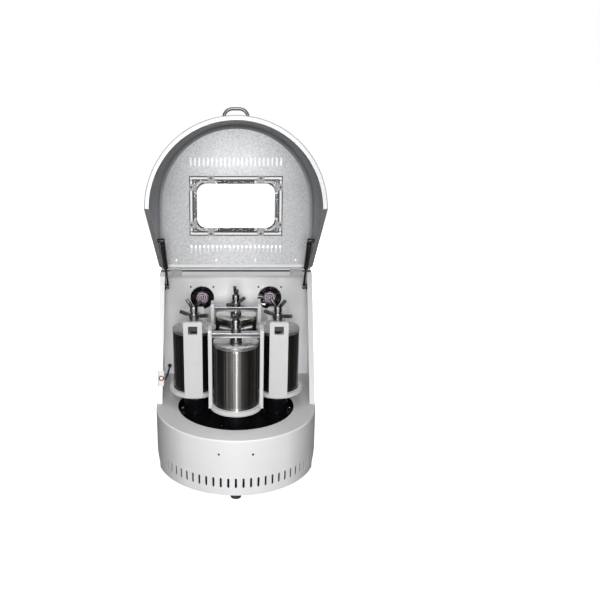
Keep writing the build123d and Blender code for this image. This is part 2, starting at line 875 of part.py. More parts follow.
def lid_shell():
    """Outer skin of the lid with its rim flange, slanted side flanges and hinge flange."""
    low, back = deck_z + lid_gap, hinge_y - flange_half_gap
    shell = lid_prism(0, low, top_z, back) - below_slant(lid_gap, top_z - sheet)
    hollow = lid_prism(sheet, low + sheet, top_z - sheet, back + overrun)
    hollow -= below_slant(lid_gap + sheet, top_z)
    shell -= hollow
    shell -= disc(drum_r - rim_w, low - overrun, low + 2 * sheet, y=axis_y)
    mouth = drum_r - lid_flange_w
    shell -= slab(-mouth, mouth, axis_y - overrun, hinge_y + overrun, low - overrun, top_z - sheet)
    half = drum_r - side_flange_w - sheet
    shell += slab(-half, half, back - sheet, back, top_z - top_flange_h, top_z - sheet / 2)
    shell -= window_cut(top_z - 2 * sheet, top_z + sheet)
    return shell - lid_vents(top_z - 2 * sheet, top_z + sheet)


def lid_liner():
    """Galvanised inner tray of the lid."""
    r, back = drum_r - liner_inset, hinge_y - flange_half_gap - liner_back_inset
    tray = d_prism(r, back, liner_z, top_z - sheet)
    tray -= d_prism(r - liner_t, back - liner_t, liner_z + liner_t, top_z)
    cut_w, cut_d = bars_outer()
    tray -= slab(-cut_w / 2, cut_w / 2, window_y - cut_d / 2, window_y + cut_d / 2, liner_z - sheet, top_z)
    return tray - lid_vents(liner_z - sheet, top_z)


def pane_size():
    """Width and depth of the pane and of the gasket under it."""
    return window_w + 2 * gasket_w, window_d + 2 * gasket_w


def bars_outer():
    """Outer size of the frame of bars, with its clearance in the liner."""
    w, d = pane_size()
    grow = 2 * (bar_w - gasket_t + bar_gap)
    return w + grow, d + grow


def window_gasket():
    """Rubber ring between the skin and the pane, wider along the middle of each side."""
    w, d = pane_size()
    top = top_z - sheet
    low, high = top - 2 * gasket_t, top + sheet
    blank = rounded_slab(w, d, window_r, top - gasket_t, top, y=window_y)
    step = 2 * gasket_edge_w
    inside = rounded_slab(w - step, d - step, window_r, low, high, y=window_y)
    inside -= slab(-gasket_long / 2, gasket_long / 2, window_y - d, window_y + d, low - sheet, high + sheet)
    inside -= slab(-w, w, window_y - gasket_short / 2, window_y + gasket_short / 2, low - sheet, high + sheet)
    return blank - inside - window_cut(low, high)


def window_pane():
    """Clear pane."""
    w, d = pane_size()
    top = top_z - sheet - gasket_t
    return rounded_slab(w, d, window_r, top - pane_t, top, y=window_y)


def window_frame():
    """Four bars that hold the pane's edges, and eight clamps with their screws."""
    w, d = bars_outer()
    half_w, half_d = w / 2 - bar_gap, d / 2 - bar_gap
    top = top_z - sheet - gasket_t - pane_t
    low = top - bar_t
    pieces = []
    for side in (-1, 1):
        y0, y1 = sorted((window_y + side * half_d, window_y + side * (half_d - bar_w)))
        pieces.append(slab(-half_w, half_w, y0, y1, low, top))
        x0, x1 = sorted((side * half_w, side * (half_w - bar_w)))
        pieces.append(slab(x0, x1, window_y - half_d + bar_w, window_y + half_d - bar_w, low, top))
    tab = slab(-clamp_w / 2, clamp_w / 2, -clamp_len, 0, low - clamp_t, low)
    tab += disc(clamp_screw_r, low - clamp_t - clamp_screw_h, low, y=-bar_w / 2)
    for x in (-clamp_x, clamp_x):
        pieces.append(Pos(x, window_y + half_d, 0) * tab)
        pieces.append(Pos(x, window_y - half_d, 0) * Rot(0, 0, 180) * tab)
    for y in (-clamp_y, clamp_y):
        pieces.append(Pos(half_w, window_y + y, 0) * Rot(0, 0, -90) * tab)
        pieces.append(Pos(-half_w, window_y + y, 0) * Rot(0, 0, 90) * tab)
    return group(*pieces)


def lid_handle():
    """Bow handle on the front of the lid."""
    z = top_z - handle_drop
    wall = axis_y - drum_r
    out = wall - handle_out + handle_bar_r
    sides = [(-handle_half, wall), (-handle_half, out), (handle_half, out), (handle_half, wall)]
    path = FilletPolyline(*[(x, y, z) for x, y in sides], radius=handle_bend_r)
    profile = Plane(origin=(-handle_half, wall, z), z_dir=(0, -1, 0)) * Circle(handle_bar_r)
    bow = sweep(profile, path=path)
    for x in (-handle_half, handle_half):
        bow += bar_y(handle_foot_r, wall - handle_foot_h, wall + handle_foot_h, x, z)
    return bow - disc(drum_r, 0, top_z, y=axis_y)


# Hinges and gas struts


def knuckles(own):
    """The leaf's knuckle pieces on the right hinge: the two outer ones or the middle one."""
    gap = seat_gap / 2
    third = hinge_len / 3
    starts = {"outer": (hinge_in_x, hinge_out_x - third), "middle": (hinge_in_x + third,)}[own]
    return [(x + gap, x + third - gap) for x in starts]


def hinge_leaf(y0, y1, own):
    """One leaf of the right hinge with its knuckles."""
    low, high = top_z - top_flange_h, top_z - leaf_top_gap
    leaf = slab(hinge_in_x, hinge_out_x, y0, y1, low, high)
    for x0, x1 in knuckles(own):
        leaf += slab(x0, x1, y0, y1, high - leaf_top_gap, hinge_z)
        leaf += bar_x(knuckle_r, x0, x1, hinge_y, hinge_z)
    bore_r = hinge_pin_r + run_fit
    return leaf - bar_x(bore_r, hinge_in_x - overrun, hinge_out_x + overrun, hinge_y, hinge_z)


def hinge_pin():
    """Pin of the right hinge, with its two heads."""
    pin = bar_x(hinge_pin_r, hinge_in_x - pin_head_h, hinge_out_x + pin_head_h, hinge_y, hinge_z)
    for x in (hinge_in_x - pin_head_h, hinge_out_x):
        pin += bar_x(pin_head_r, x, x + pin_head_h, hinge_y, hinge_z)
    return pin


def strut_points():
    """The strut's pivots in the side view at rest: on the open lid and on the housing."""
    a = radians(open_deg)
    y, z = -strut_lid_fwd, -strut_lid_drop
    top = (hinge_y + y * cos(a) + z * sin(a), hinge_z - y * sin(a) + z * cos(a))
    return top, (hinge_y - strut_body_fwd, hinge_z - strut_body_drop)


def housing_bracket():
    """Housing bracket plate on the right wall, with a flat boss that the rod's pin faces."""
    y, z = strut_points()[1]
    half_w, half_h = bracket_w / 2, bracket_h / 2
    plate = slab(wall_face_x - bracket_t, wall_face_x, y - half_w, y + half_w, z - half_h, z + half_h)
    plate = fillet(plate.edges().filter_by(Axis.X), bracket_t)
    face = strut_x + eye_t / 2 + stud_head_t + seat_gap
    return plate + bar_x(boss_r, face, wall_face_x - bracket_t, y, z)


def lid_bracket():
    """Lid bracket with the headed stud that the cylinder's eye turns on, on the closed lid."""
    y, z = hinge_y - strut_lid_fwd, hinge_z - strut_lid_drop
    near, far = strut_x - eye_t / 2, strut_x + eye_t / 2
    stud = bar_x(stud_r, near - seat_gap - stud_head_t, wall_face_x, y, z)
    stud += bar_x(stud_shoulder_r, far + seat_gap, wall_face_x, y, z)
    stud += bar_x(stud_head_r, near - seat_gap - stud_head_t, near - seat_gap, y, z)
    return stud + bar_x(lid_boss_r, wall_face_x - bracket_t, wall_face_x, y, z)


def housing_fittings():
    """Hinge leaves, hinge pins and strut brackets on the housing."""
    y0 = hinge_y + flange_half_gap - leaf_t
    right = [hinge_leaf(y0, y0 + leaf_t, "outer"), hinge_pin(), housing_bracket()]
    return group(*right, *[mirrored(piece) for piece in right])


def lid_fittings():
    """Hinge leaves, their backing plates and strut brackets on the lid."""
    y0 = hinge_y - flange_half_gap
    inner = y0 - sheet
    backing = slab(hinge_in_x, hinge_out_x, inner - leaf_t, inner, top_z - top_flange_h, top_z - 2 * sheet)
    right = [hinge_leaf(y0, y0 + leaf_t, "middle"), backing, lid_bracket()]
    return group(*right, *[mirrored(piece) for piece in right])


def strut_frame(side):
    """One strut's own frame: from the upper pivot, with Z towards the lower one and X outwards."""
    (ty, tz), (by, bz) = strut_points()
    length = hypot(by - ty, bz - tz)
    turn = degrees(atan2(-(by - ty), bz - tz))
    return Pos(side * strut_x, ty, tz) * Rot(turn, 0, 0) * Rot(0, 0, 90 - side * 90), length


def eye_blank(z):
    """The flat round eye of a strut end at height z."""
    return Pos(0, 0, z) * Rot(0, 90, 0) * Cylinder(eye_r, eye_t)


def strut_cylinder(side):
    """Cylinder with its eye on the lid's stud."""
    place, _ = strut_frame(side)
    neck = Pos(0, 0, cylinder_start / 2) * Cylinder(eye_t / 2, cylinder_start)
    tube = Pos(0, 0, cylinder_start + cylinder_len / 2) * Cylinder(cylinder_r, cylinder_len)
    tube = fillet(tube.edges(), sheet / 2)
    body = eye_blank(0) + neck + tube - Rot(0, 90, 0) * Cylinder(stud_r + run_fit, 2 * eye_t)
    middle = cylinder_start + sheet + cylinder_len / 2
    return place * (body - Pos(0, 0, middle) * Cylinder(strut_rod_r + run_fit, cylinder_len))


def strut_rod(side):
    """Rod with its eye and pin at the housing's boss."""
    place, length = strut_frame(side)
    closed = hypot(strut_lid_fwd - strut_body_fwd, strut_lid_drop - strut_body_drop)
    start = cylinder_start + 2 * sheet + length - closed
    rod = Pos(0, 0, (start + length - eye_r / 2) / 2) * Cylinder(strut_rod_r, length - eye_r / 2 - start)
    pin_len = eye_t + stud_head_t
    pin = Pos(stud_head_t / 2, 0, length) * Rot(0, 90, 0) * Cylinder(rod_pin_r, pin_len)
    return place * (rod + eye_blank(length) + pin)


# Interlock switch


def switch_plane():
    """The plane of the left slanted flange at the switch, Z outwards and Y up along the slant."""
    y, z = slant_y(deck_z + switch_rise), deck_z + switch_rise
    x = -wall_face_x + switch_wall_gap + switch_w / 2
    return Plane(origin=(x, y, z), x_dir=(-1, 0, 0), z_dir=(0, -cos(slant), sin(slant)))


def switch_notch():
    """Cut-out of the flange round the switch."""
    plane = switch_plane()
    w, length = switch_w + 2 * seat_gap, switch_len + 2 * seat_gap
    return plane * Box(w, length, 2 * overrun)


def interlock_switch():
    """Switch body through the flange."""
    plane = switch_plane()
    depth = switch_depth + switch_proud
    body = Pos(0, 0, switch_proud - depth / 2) * Box(switch_w, switch_len, depth)
    body = fillet(body.edges().filter_by(Axis.Z), switch_proud)
    bore = Cylinder(plunger_r + run_fit, plunger_len + plunger_travel * 2)
    return plane * (body - Pos(0, 0, switch_proud - plunger_len / 2) * bore)


def interlock_plunger():
    """Plunger that the closed lid presses."""
    plane = switch_plane()
    stem = Pos(0, 0, switch_proud + plunger_proud - plunger_len / 2) * Cylinder(plunger_r, plunger_len)
    return plane * fillet(stem.edges().group_by(Axis.Z)[-1], plunger_r / 3)


def cable_points():
    """The cable's route, from the switch's back to the wall."""
    plane = switch_plane()
    start = plane.origin - plane.z_dir * switch_depth
    stub = start - plane.z_dir * cable_stub
    end = Vector(-grommet_x, back_wall_y + grommet_t, deck_z + grommet_rise)
    bends = [Vector(inset - drum_r, axis_y + run, deck_z + rise) for inset, run, rise in cable_route]
    return [start, stub, *bends, end]


def interlock_cable():
    """Cable from the switch to its grommet in the back wall."""
    points = cable_points()
    radii = []
    for a, b, c in zip(points, points[1:], points[2:]):
        shorter = min((b - a).length, (c - b).length)
        radii.append(cable_bend_share * shorter / tan(radians((b - a).get_angle(c - b)) / 2))
    path = FilletPolyline(*points, radius=radii)
    first = (points[1] - points[0]).normalized()
    line = sweep(Plane(origin=points[0], z_dir=first) * Circle(cable_r), path=path)
    print("cable radii", [round(r) for r in radii])
    x, z, front = -grommet_x, deck_z + grommet_rise, back_wall_y - grommet_t
    grommet = bar_y(grommet_r - grommet_t - run_fit, front, front + sheet + 2 * grommet_t, x, z)
    for y in (front, back_wall_y + sheet):
        grommet += bar_y(grommet_r, y, y + grommet_t, x, z)
    bore = bar_y(cable_r + 2 * run_fit, front - overrun, back_wall_y + 2 * overrun, x, z)
    return group(line, grommet - bore)


# Fans and the fittings at the back


def fan_frames():
    """Square fan frames behind the back wall, each with a hub plate on four spokes."""
    frames = []
    front = back_wall_y + sheet
    bore_r = fan_hole_r
    for x, z in fan_places():
        body = Pos(x, front + fan_depth / 2, z) * Rot(90, 0, 0) * Box(fan_size, fan_size, fan_depth)
        body = fillet(body.edges().filter_by(Axis.Y), fan_corner_r)
        body -= bar_y(bore_r, front - overrun, front + fan_depth + overrun, x, z)
        back, reach = front + fan_depth, 2 * (bore_r + sheet)
        spokes = bar_y(hub_share * bore_r, back - sheet, back, x, z)
        for w, h in ((reach, spoke_w), (spoke_w, reach)):
            spokes += panel_at(x, z, w, h, back - sheet, back)
        frames.append(body + spokes)
    return group(*frames)


def fan_rotor(x, z):
    """Fan rotor: hub and pitched blades."""
    front, back = back_wall_y + sheet + seat_gap, back_wall_y + sheet + fan_depth - sheet - seat_gap
    hub_r_fan = hub_share * fan_hole_r
    hub = fillet(bar_y(hub_r_fan, front, back, x, z).edges().group_by(Axis.Y)[0], sheet)
    reach = fan_hole_r - fan_tip_gap
    chord = back - front - 2 * sheet
    blade = Rot(blade_pitch_deg, 0, 0) * Box(reach - hub_r_fan + sheet, chord, blade_t)
    blade = Pos((reach + hub_r_fan) / 2, 0, 0) * blade
    middle = Pos(x, (front + back) / 2, z)
    for n in range(blade_count):
        hub += middle * Rot(0, n * 360 / blade_count, 0) * blade
    keep = bar_y(reach, front, back, x, z)
    return hub & keep


def control_unit():
    """Speed drive behind the rear panel, with its blank face in the opening."""
    front_y = rear_y - rear_inset - sheet - seat_gap
    x, z = -unit_x, deck_z + unit_rise
    body = panel_at(x, z, unit_w, unit_h, front_y - unit_depth, front_y)
    body = fillet(body.edges().filter_by(Axis.Y), unit_face_r)
    inset = 2 * (unit_face_inset + seat_gap)
    face_y = rear_y - rear_inset
    body += panel_at(x, z, unit_w - inset, unit_h - inset, front_y, face_y)
    screen_z = z + unit_h * screen_rise_share
    body -= panel_at(x, screen_z, screen_w, screen_h, face_y - sheet / 2, face_y + sheet)
    for n in range(key_count):
        kx = x + (n - (key_count - 1) / 2) * key_pitch
        body += bar_y(key_r, face_y, face_y + key_h, kx, z - unit_h * key_drop_share)
    return body


def power_inlet():
    """Mains inlet and the frame of the power switch."""
    face = rear_y - rear_inset
    z = foot_h + inlet_rise
    floor = face - inlet_depth
    rim = 2 * inlet_flange
    body = panel_at(inlet_x, z, inlet_w, inlet_h, floor, face)
    body += panel_at(inlet_x, z, inlet_w + rim, inlet_h + rim, face, face + inlet_flange_t)
    body -= panel_at(inlet_x, z, inlet_w - rim, inlet_h - rim, floor + sheet, face + overrun)
    for n in (-1, 0, 1):
        pin_x = inlet_x + n * inlet_pin_pitch
        body += panel_at(pin_x, z, inlet_pin_w, inlet_pin_h, floor, floor + inlet_pin_len)
    z = foot_h + rocker_rise
    wide, tall, lip, fit = rocker_w + rocker_frame, rocker_h + rocker_frame, 2 * sheet, 2 * seat_gap
    frame = panel_at(inlet_x, z, wide, tall, face - rocker_depth - sheet, face)
    frame += panel_at(inlet_x, z, wide + lip, tall + lip, face, face + sheet)
    frame -= panel_at(inlet_x, z, rocker_w + fit, rocker_h + fit, face - rocker_depth, face + overrun)
    return group(body, frame)


def rocker_axis():
    """The power rocker's pivot."""
    return (inlet_x, rear_y - rear_inset - rocker_depth / 2, foot_h + rocker_rise)


def power_rocker():
    """Power rocker, tipped to its off side."""
    x, y, z = rocker_axis()
    face = rear_y - rear_inset + rocker_out
    half = rocker_h / 2 - sheet
    body = bar_x(rocker_depth / 2 - sheet, x - rocker_w / 2, x + rocker_w / 2, y, z)
    points = [(y, z - half / 2), (face, z - half), (face - rocker_out, z)]
    points += [(face, z + half), (y, z + half / 2)]
    outline = Polyline(*[(x - rocker_w / 2, py, pz) for py, pz in points], close=True)
    body += extrude(make_face(outline), rocker_w, dir=(1, 0, 0))
    return body.rotate(Axis((x, y, z), (1, 0, 0)), rocker_tilt_deg)


def pieces():
    """Every node of the mill at rest."""
    parts = {
        "housing_shell": housing_shell(),
        "pit_wall": pit_wall(),
        "chamber_back_wall": chamber_back_wall(),
        "rear_panel": rear_panel(),
        "base_plate": base_plate(),
        "rubber_feet": rubber_feet(),
        "machine_frame": machine_frame(),
        "main_bearing": main_bearing(),
        "main_shaft": main_shaft(),
        "motor": motor(),
        "motor_pulley": motor_pulley(),
        "drive_belt": drive_belt(),
        "turntable": turntable(),
        "planet_belts": planet_belts(),
        "panel_screws": panel_screws(),
        "fan_frames": fan_frames(),
        "control_unit": control_unit(),
        "power_inlet": power_inlet(),
        "power_rocker": power_rocker(),
        "interlock_switch": interlock_switch(),
        "interlock_plunger": interlock_plunger(),
        "interlock_cable": interlock_cable(),
        "housing_fittings": housing_fittings(),
    }
    for side, (x, z) in zip(("left", "right"), fan_places()):
        parts[f"fan_rotor_{side}"] = fan_rotor(x, z)
    lid = (lid_shell, lid_liner, window_gasket, window_pane, window_frame, lid_handle, lid_fittings)
    for make in lid:
        parts[make.__name__] = opened(make())
    for name, side in (("left", -1), ("right", 1)):
        parts[f"strut_cylinder_{name}"] = strut_cylinder(side)
        parts[f"strut_rod_{name}"] = strut_rod(side)
    for level, (side, angle) in enumerate(stations.items()):
        place = station_at(angle)
        parts[f"carrier_{side}"] = place * carrier(level)
        parts[f"jar_{side}"] = place * jar()
        parts[f"jar_lid_{side}"] = place * jar_lid()
        parts[f"cross_beam_{side}"] = place * cross_beam()
        spin = Rot(0, 0, nut_arm_degs[side] - angle - 90)
        parts[f"lock_nut_{side}"] = place * spin * lock_nut()
        spin = Rot(0, 0, screw_arm_degs[side] - angle - 90)
        parts[f"clamp_screw_{side}"] = place * spin * clamp_screw()
    return parts


def main():
    """Writes one STEP file for each node."""
    os.makedirs("parts", exist_ok=True)
    for name, shape in pieces().items():
        export_step(shape, f"parts/{name}.step")


main()
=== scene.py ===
import json
import math
from collections import namedtuple

import bmesh
import bpy
from mathutils import Matrix, Vector


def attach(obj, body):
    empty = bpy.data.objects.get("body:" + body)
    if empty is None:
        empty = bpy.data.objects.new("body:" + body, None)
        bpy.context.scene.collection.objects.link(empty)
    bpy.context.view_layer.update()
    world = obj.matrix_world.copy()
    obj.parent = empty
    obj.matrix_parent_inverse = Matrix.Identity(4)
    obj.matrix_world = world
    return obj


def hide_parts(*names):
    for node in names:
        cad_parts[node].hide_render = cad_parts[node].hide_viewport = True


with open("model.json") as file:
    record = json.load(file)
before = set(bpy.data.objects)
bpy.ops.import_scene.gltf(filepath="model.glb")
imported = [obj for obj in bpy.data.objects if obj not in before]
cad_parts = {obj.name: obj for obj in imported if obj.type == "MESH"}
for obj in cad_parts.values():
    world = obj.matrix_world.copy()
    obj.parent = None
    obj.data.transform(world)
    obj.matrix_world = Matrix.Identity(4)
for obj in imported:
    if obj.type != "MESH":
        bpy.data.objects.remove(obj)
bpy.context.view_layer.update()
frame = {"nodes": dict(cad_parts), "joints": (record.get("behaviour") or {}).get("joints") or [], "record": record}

# Places from the frame's joints, in metres
joints = {joint["name"]: joint for joint in frame["joints"]}
STATIONS = {side: joints[f"carrier_{side}_spin"]["pos_m"] for side in ("left", "front", "right", "back")}
DECK_Z = STATIONS["front"][2]
AXIS_Y = joints["turntable_spin"]["pos_m"][1]
BEAM_TOP_Z = joints["lock_nut_front_turn"]["pos_m"][2]
HINGE_Y, HINGE_Z = joints["lid_hinge"]["pos_m"][1:]
OPEN_DEG = joints["lid_hinge"]["range_deg"][1]
FAN_X, WALL_Y, FAN_Z = joints["fan_right_spin"]["pos_m"]

# Sizes of the housing, the lid's window and the switch, in metres
TOP_Z = 0.555
HINGE_RUN = HINGE_Y - AXIS_Y
SLOPE = math.atan2(HINGE_RUN, TOP_Z - DECK_Z)
WINDOW_UP = 0.192
WINDOW_HALF_W = 0.1175
WINDOW_HALF_H = 0.066
WINDOW_R = 0.028
BARS_HALF_W = 0.140
BARS_HALF_H = 0.0885
SWITCH_X = -0.223
SWITCH_RISE = 0.067

# Painted reflections on each jar's wall: the middle of each bright band as an angle from the front, the half width
# and the strength
PAINTED_REFLECTIONS = {
    "left": ((1.35, 0.6, 0.5), (-1.45, 0.12, 0.4)),
    "front": ((-0.06, 0.56, 0.6), (0.0, 0.2, 1.5), (-1.2, 0.2, 0.4), (1.28, 0.08, 0.5)),
    "right": ((-1.3, 0.65, 0.85), (1.4, 0.1, 0.5)),
    "back": ((0.0, 0.8, 0.8),),
}

# Kinds of socket, and what the groups that make a whole surface are given and put out
VECTOR, COLOUR, VALUE = "NodeSocketVector", "NodeSocketColor", "NodeSocketFloat"
SURFACE_IN = {"Vector": VECTOR, "Colour": COLOUR, "Roughness": VALUE}
SURFACE_OUT = {"Colour": COLOUR, "Roughness": VALUE, "Height": VALUE}

# A material, the parts of its node tree that the finishes use, and the node of its shared group
Finish = namedtuple("Finish", "material tree shader place surface")


# Small helpers for node trees


def colour(r, g, b):
    """A colour with full alpha."""
    return (r, g, b, 1.0)


def add(tree, kind, **settings):
    """A new node with its properties set."""
    node = tree.nodes.new(kind)
    for key, value in settings.items():
        setattr(node, key, value)
    return node


def feed(tree, value, socket):
    """Links an output to a socket, or sets the socket to a plain value."""
    if isinstance(value, bpy.types.NodeSocket):
        tree.links.new(value, socket)
    else:
        socket.default_value = value


def math_node(tree, operation, *values, clamp=False):
    """A Math node's output for inputs that are each an output or a number."""
    node = add(tree, "ShaderNodeMath", operation=operation, use_clamp=clamp)
    for socket, value in zip(node.inputs, values):
        feed(tree, value, socket)
    return node.outputs[0]


def plus(tree, a, b):
    """The sum of two values."""
    return math_node(tree, "ADD", a, b)


def minus(tree, a, b):
    """The first value less the second."""
    return math_node(tree, "SUBTRACT", a, b)


def times(tree, a, b):
    """The product of two values."""
    return math_node(tree, "MULTIPLY", a, b)


def less(tree, a, b):
    """One where the first value is the smaller."""
    return math_node(tree, "LESS_THAN", a, b)


def more(tree, a, b):
    """One where the first value is the larger."""
    return math_node(tree, "GREATER_THAN", a, b)


def away_from(tree, middle, value):
    """How far a value lies from a middle, to either side."""
    return math_node(tree, "ABSOLUTE", minus(tree, value, middle))


def hypotenuse(tree, a, b):
    """The straight distance for two distances at a right angle."""
    return math_node(tree, "SQRT", plus(tree, times(tree, a, a), times(tree, b, b)))


def all_of(tree, *conditions):
    """One where every condition holds."""
    whole = conditions[0]
    for condition in conditions[1:]:
        whole = times(tree, whole, condition)
    return whole


def map_range(tree, value, from_min, from_max, to_min, to_max):
    """A clamped Map Range of one value."""
    node = add(tree, "ShaderNodeMapRange")
    for socket, given in zip(node.inputs, (value, from_min, from_max, to_min, to_max)):
        feed(tree, given, socket)
    return node.outputs["Result"]


def mix_value(tree, factor, a, b):
    """A mix of two values."""
    node = add(tree, "ShaderNodeMix", data_type="FLOAT")
    for index, given in ((0, factor), (2, a), (3, b)):
        feed(tree, given, node.inputs[index])
    return node.outputs[0]


def mix_colour(tree, factor, a, b):
    """A mix of two colours."""
    node = add(tree, "ShaderNodeMix", data_type="RGBA")
    for index, given in ((0, factor), (6, a), (7, b)):
        feed(tree, given, node.inputs[index])
    return node.outputs[2]


def scaled(tree, base, factor):
    """A colour times a factor that varies."""
    node = add(tree, "ShaderNodeVectorMath", operation="SCALE")
    feed(tree, base if isinstance(base, bpy.types.NodeSocket) else base[:3], node.inputs[0])
    feed(tree, factor, node.inputs["Scale"])
    return node.outputs[0]


def noise(tree, vector, scale, detail):
    """A noise texture's value at a place."""
    node = add(tree, "ShaderNodeTexNoise")
    for name, given in (("Vector", vector), ("Scale", scale), ("Detail", detail)):
        feed(tree, given, node.inputs[name])
    return node.outputs["Fac"]


def noise_along(tree, value, scale, detail, roughness):
    """A noise texture's value along one line or angle."""
    node = add(tree, "ShaderNodeTexNoise", noise_dimensions="1D")
    for name, given in (("W", value), ("Scale", scale), ("Detail", detail), ("Roughness", roughness)):
        feed(tree, given, node.inputs[name])
    return node.outputs["Fac"]


def split_place(tree, place):
    """The x, y and z of a place."""
    node = add(tree, "ShaderNodeSeparateXYZ")
    feed(tree, place, node.inputs[0])
    return node.outputs


def from_middle(tree, place):
    """The distance from the machine's middle plane, to either side."""
    return math_node(tree, "ABSOLUTE", split_place(tree, place)[0])


def bump(tree, shader, height, strength, distance):
    """Bump on the shader's normal."""
    node = add(tree, "ShaderNodeBump")
    for name, given in (("Height", height), ("Strength", strength), ("Distance", distance)):
        feed(tree, given, node.inputs[name])
    feed(tree, node.outputs["Normal"], shader.inputs["Normal"])


# Groups that several finishes share


def shader_group(name, inputs, outputs):
    """A shader node group: the group, what it is given and what it puts out."""
    group = bpy.data.node_groups.new(name, "ShaderNodeTree")
    for way, sockets in (("INPUT", inputs), ("OUTPUT", outputs)):
        for label, kind in sockets.items():
            group.interface.new_socket(label, in_out=way, socket_type=kind)
    given = add(group, "NodeGroupInput").outputs
    put_out = add(group, "NodeGroupOutput").inputs
    return group, given, put_out


def coat_group():
    """Powder coat: a faint cloudiness, a roughness that varies and an orange-peel height."""
    group, given, put_out = shader_group("powder_coat", SURFACE_IN, SURFACE_OUT)
    cloud = noise(group, given["Vector"], 6.0, 3.0)
    grime = noise(group, given["Vector"], 38.0, 4.0)
    peel = noise(group, given["Vector"], 420.0, 1.0)
    shade = map_range(group, cloud, 0.3, 0.7, 0.965, 1.0)
    specks = map_range(group, grime, 0.25, 0.36, 0.97, 1.0)
    uneven = map_range(group, grime, 0.3, 0.7, -0.04, 0.06)
    feed(group, scaled(group, given["Colour"], times(group, shade, specks)), put_out["Colour"])
    feed(group, plus(group, given["Roughness"], uneven), put_out["Roughness"])
    feed(group, peel, put_out["Height"])
    return group


def steel_group():
    """Worked steel: long scratches and dull patches."""
    group, given, put_out = shader_group("worked_steel", {**SURFACE_IN, "Stretch": VECTOR}, SURFACE_OUT)
    stretched = add(group, "ShaderNodeVectorMath", operation="MULTIPLY")
    feed(group, given["Vector"], stretched.inputs[0])
    feed(group, given["Stretch"], stretched.inputs[1])
    scratch = noise(group, stretched.outputs[0], 90.0, 5.0)
    patch = noise(group, given["Vector"], 14.0, 2.0)
    tone = map_range(group, scratch, 0.3, 0.7, 0.88, 1.06)
    dull = map_range(group, patch, 0.3, 0.7, 0.94, 1.02)
    fine = map_range(group, scratch, 0.3, 0.7, -0.05, 0.07)
    broad = map_range(group, patch, 0.3, 0.7, -0.03, 0.04)
    feed(group, scaled(group, given["Colour"], times(group, tone, dull)), put_out["Colour"])
    feed(group, plus(group, given["Roughness"], plus(group, fine, broad)), put_out["Roughness"])
    feed(group, scratch, put_out["Height"])
    return group


def zinc_group():
    """Zinc coat: the tone and the height of its spangle, and a roughness that varies with it."""
    outputs = {"Tone": VALUE, "Roughness": VALUE, "Height": VALUE}
    group, given, put_out = shader_group("zinc_spangle", {"Vector": VECTOR, "Roughness": VALUE}, outputs)
    cells = add(group, "ShaderNodeTexVoronoi")
    feed(group, given["Vector"], cells.inputs["Vector"])
    feed(group, 300.0, cells.inputs["Scale"])
    parts = add(group, "ShaderNodeSeparateColor")
    feed(group, cells.outputs["Color"], parts.inputs[0])
    spangle = parts.outputs[0]
    cloud = noise(group, given["Vector"], 9.0, 3.0)
    flecks = map_range(group, spangle, 0.0, 1.0, 0.78, 1.14)
    shade = map_range(group, cloud, 0.3, 0.7, 0.97, 1.02)
    uneven = map_range(group, spangle, 0.0, 1.0, -0.08, 0.1)
    feed(group, times(group, flecks, shade), put_out["Tone"])
    feed(group, plus(group, given["Roughness"], uneven), put_out["Roughness"])
    feed(group, spangle, put_out["Height"])
    return group


def moulding_group():
    """Moulded plastic or rubber: dusty patches, a roughness that varies and a fine grain."""
    group, given, put_out = shader_group("moulded_grain", {**SURFACE_IN, "Grain": VALUE}, SURFACE_OUT)
    fine = noise(group, given["Vector"], given["Grain"], 3.0)
    dust = noise(group, given["Vector"], 22.0, 4.0)
    tone = map_range(group, dust, 0.35, 0.75, 0.92, 1.12)
    uneven = map_range(group, dust, 0.3, 0.7, -0.05, 0.06)
    feed(group, scaled(group, given["Colour"], tone), put_out["Colour"])
    feed(group, plus(group, given["Roughness"], uneven), put_out["Roughness"])
    feed(group, fine, put_out["Height"])
    return group


def lid_group():
    """Measures on the open lid: the height up from the hinge, the depth from the outer skin, the distance
    out from the lid's middle line, and the distance behind the slanted edge."""
    outputs = {"Up": VALUE, "Depth": VALUE, "Out": VALUE, "Behind": VALUE}
    group, given, put_out = shader_group("lid_measures", {"Vector": VECTOR}, outputs)
    x, y, z = split_place(group, given["Vector"])
    back, high = minus(group, y, HINGE_Y), minus(group, z, HINGE_Z)
    lean = math.radians(OPEN_DEG - 90)
    up = plus(group, times(group, back, math.sin(lean)), times(group, high, math.cos(lean)))
    depth = minus(group, times(group, high, math.sin(lean)), times(group, back, math.cos(lean)))
    past_middle = math_node(group, "MAXIMUM", minus(group, up, HINGE_RUN), 0.0)
    before_edge = times(group, minus(group, HINGE_RUN, up), math.cos(SLOPE))
    below_deck = times(group, minus(group, depth, HINGE_Z - DECK_Z), math.sin(SLOPE))
    feed(group, up, put_out["Up"])
    feed(group, depth, put_out["Depth"])
    feed(group, hypotenuse(group, x, past_middle), put_out["Out"])
    feed(group, plus(group, before_edge, below_deck), put_out["Behind"])
    return group


def station_group():
    """Measures round a jar station's axis: the angle from the front and the distance from the axis."""
    inputs = {"Vector": VECTOR, "Centre": VECTOR}
    group, given, put_out = shader_group("station_measures", inputs, {"Around": VALUE, "Reach": VALUE})
    offset = add(group, "ShaderNodeVectorMath", operation="SUBTRACT")
    feed(group, given["Vector"], offset.inputs[0])
    feed(group, given["Centre"], offset.inputs[1])
    across, back, _ = split_place(group, offset.outputs[0])
    around = math_node(group, "ARCTAN2", across, times(group, back, -1.0))
    feed(group, around, put_out["Around"])
    feed(group, hypotenuse(group, across, back), put_out["Reach"])
    return group


COAT = coat_group()
STEEL = steel_group()
ZINC = zinc_group()
MOULDING = moulding_group()
LID_MEASURES = lid_group()
STATION_MEASURES = station_group()


# Plain finishes


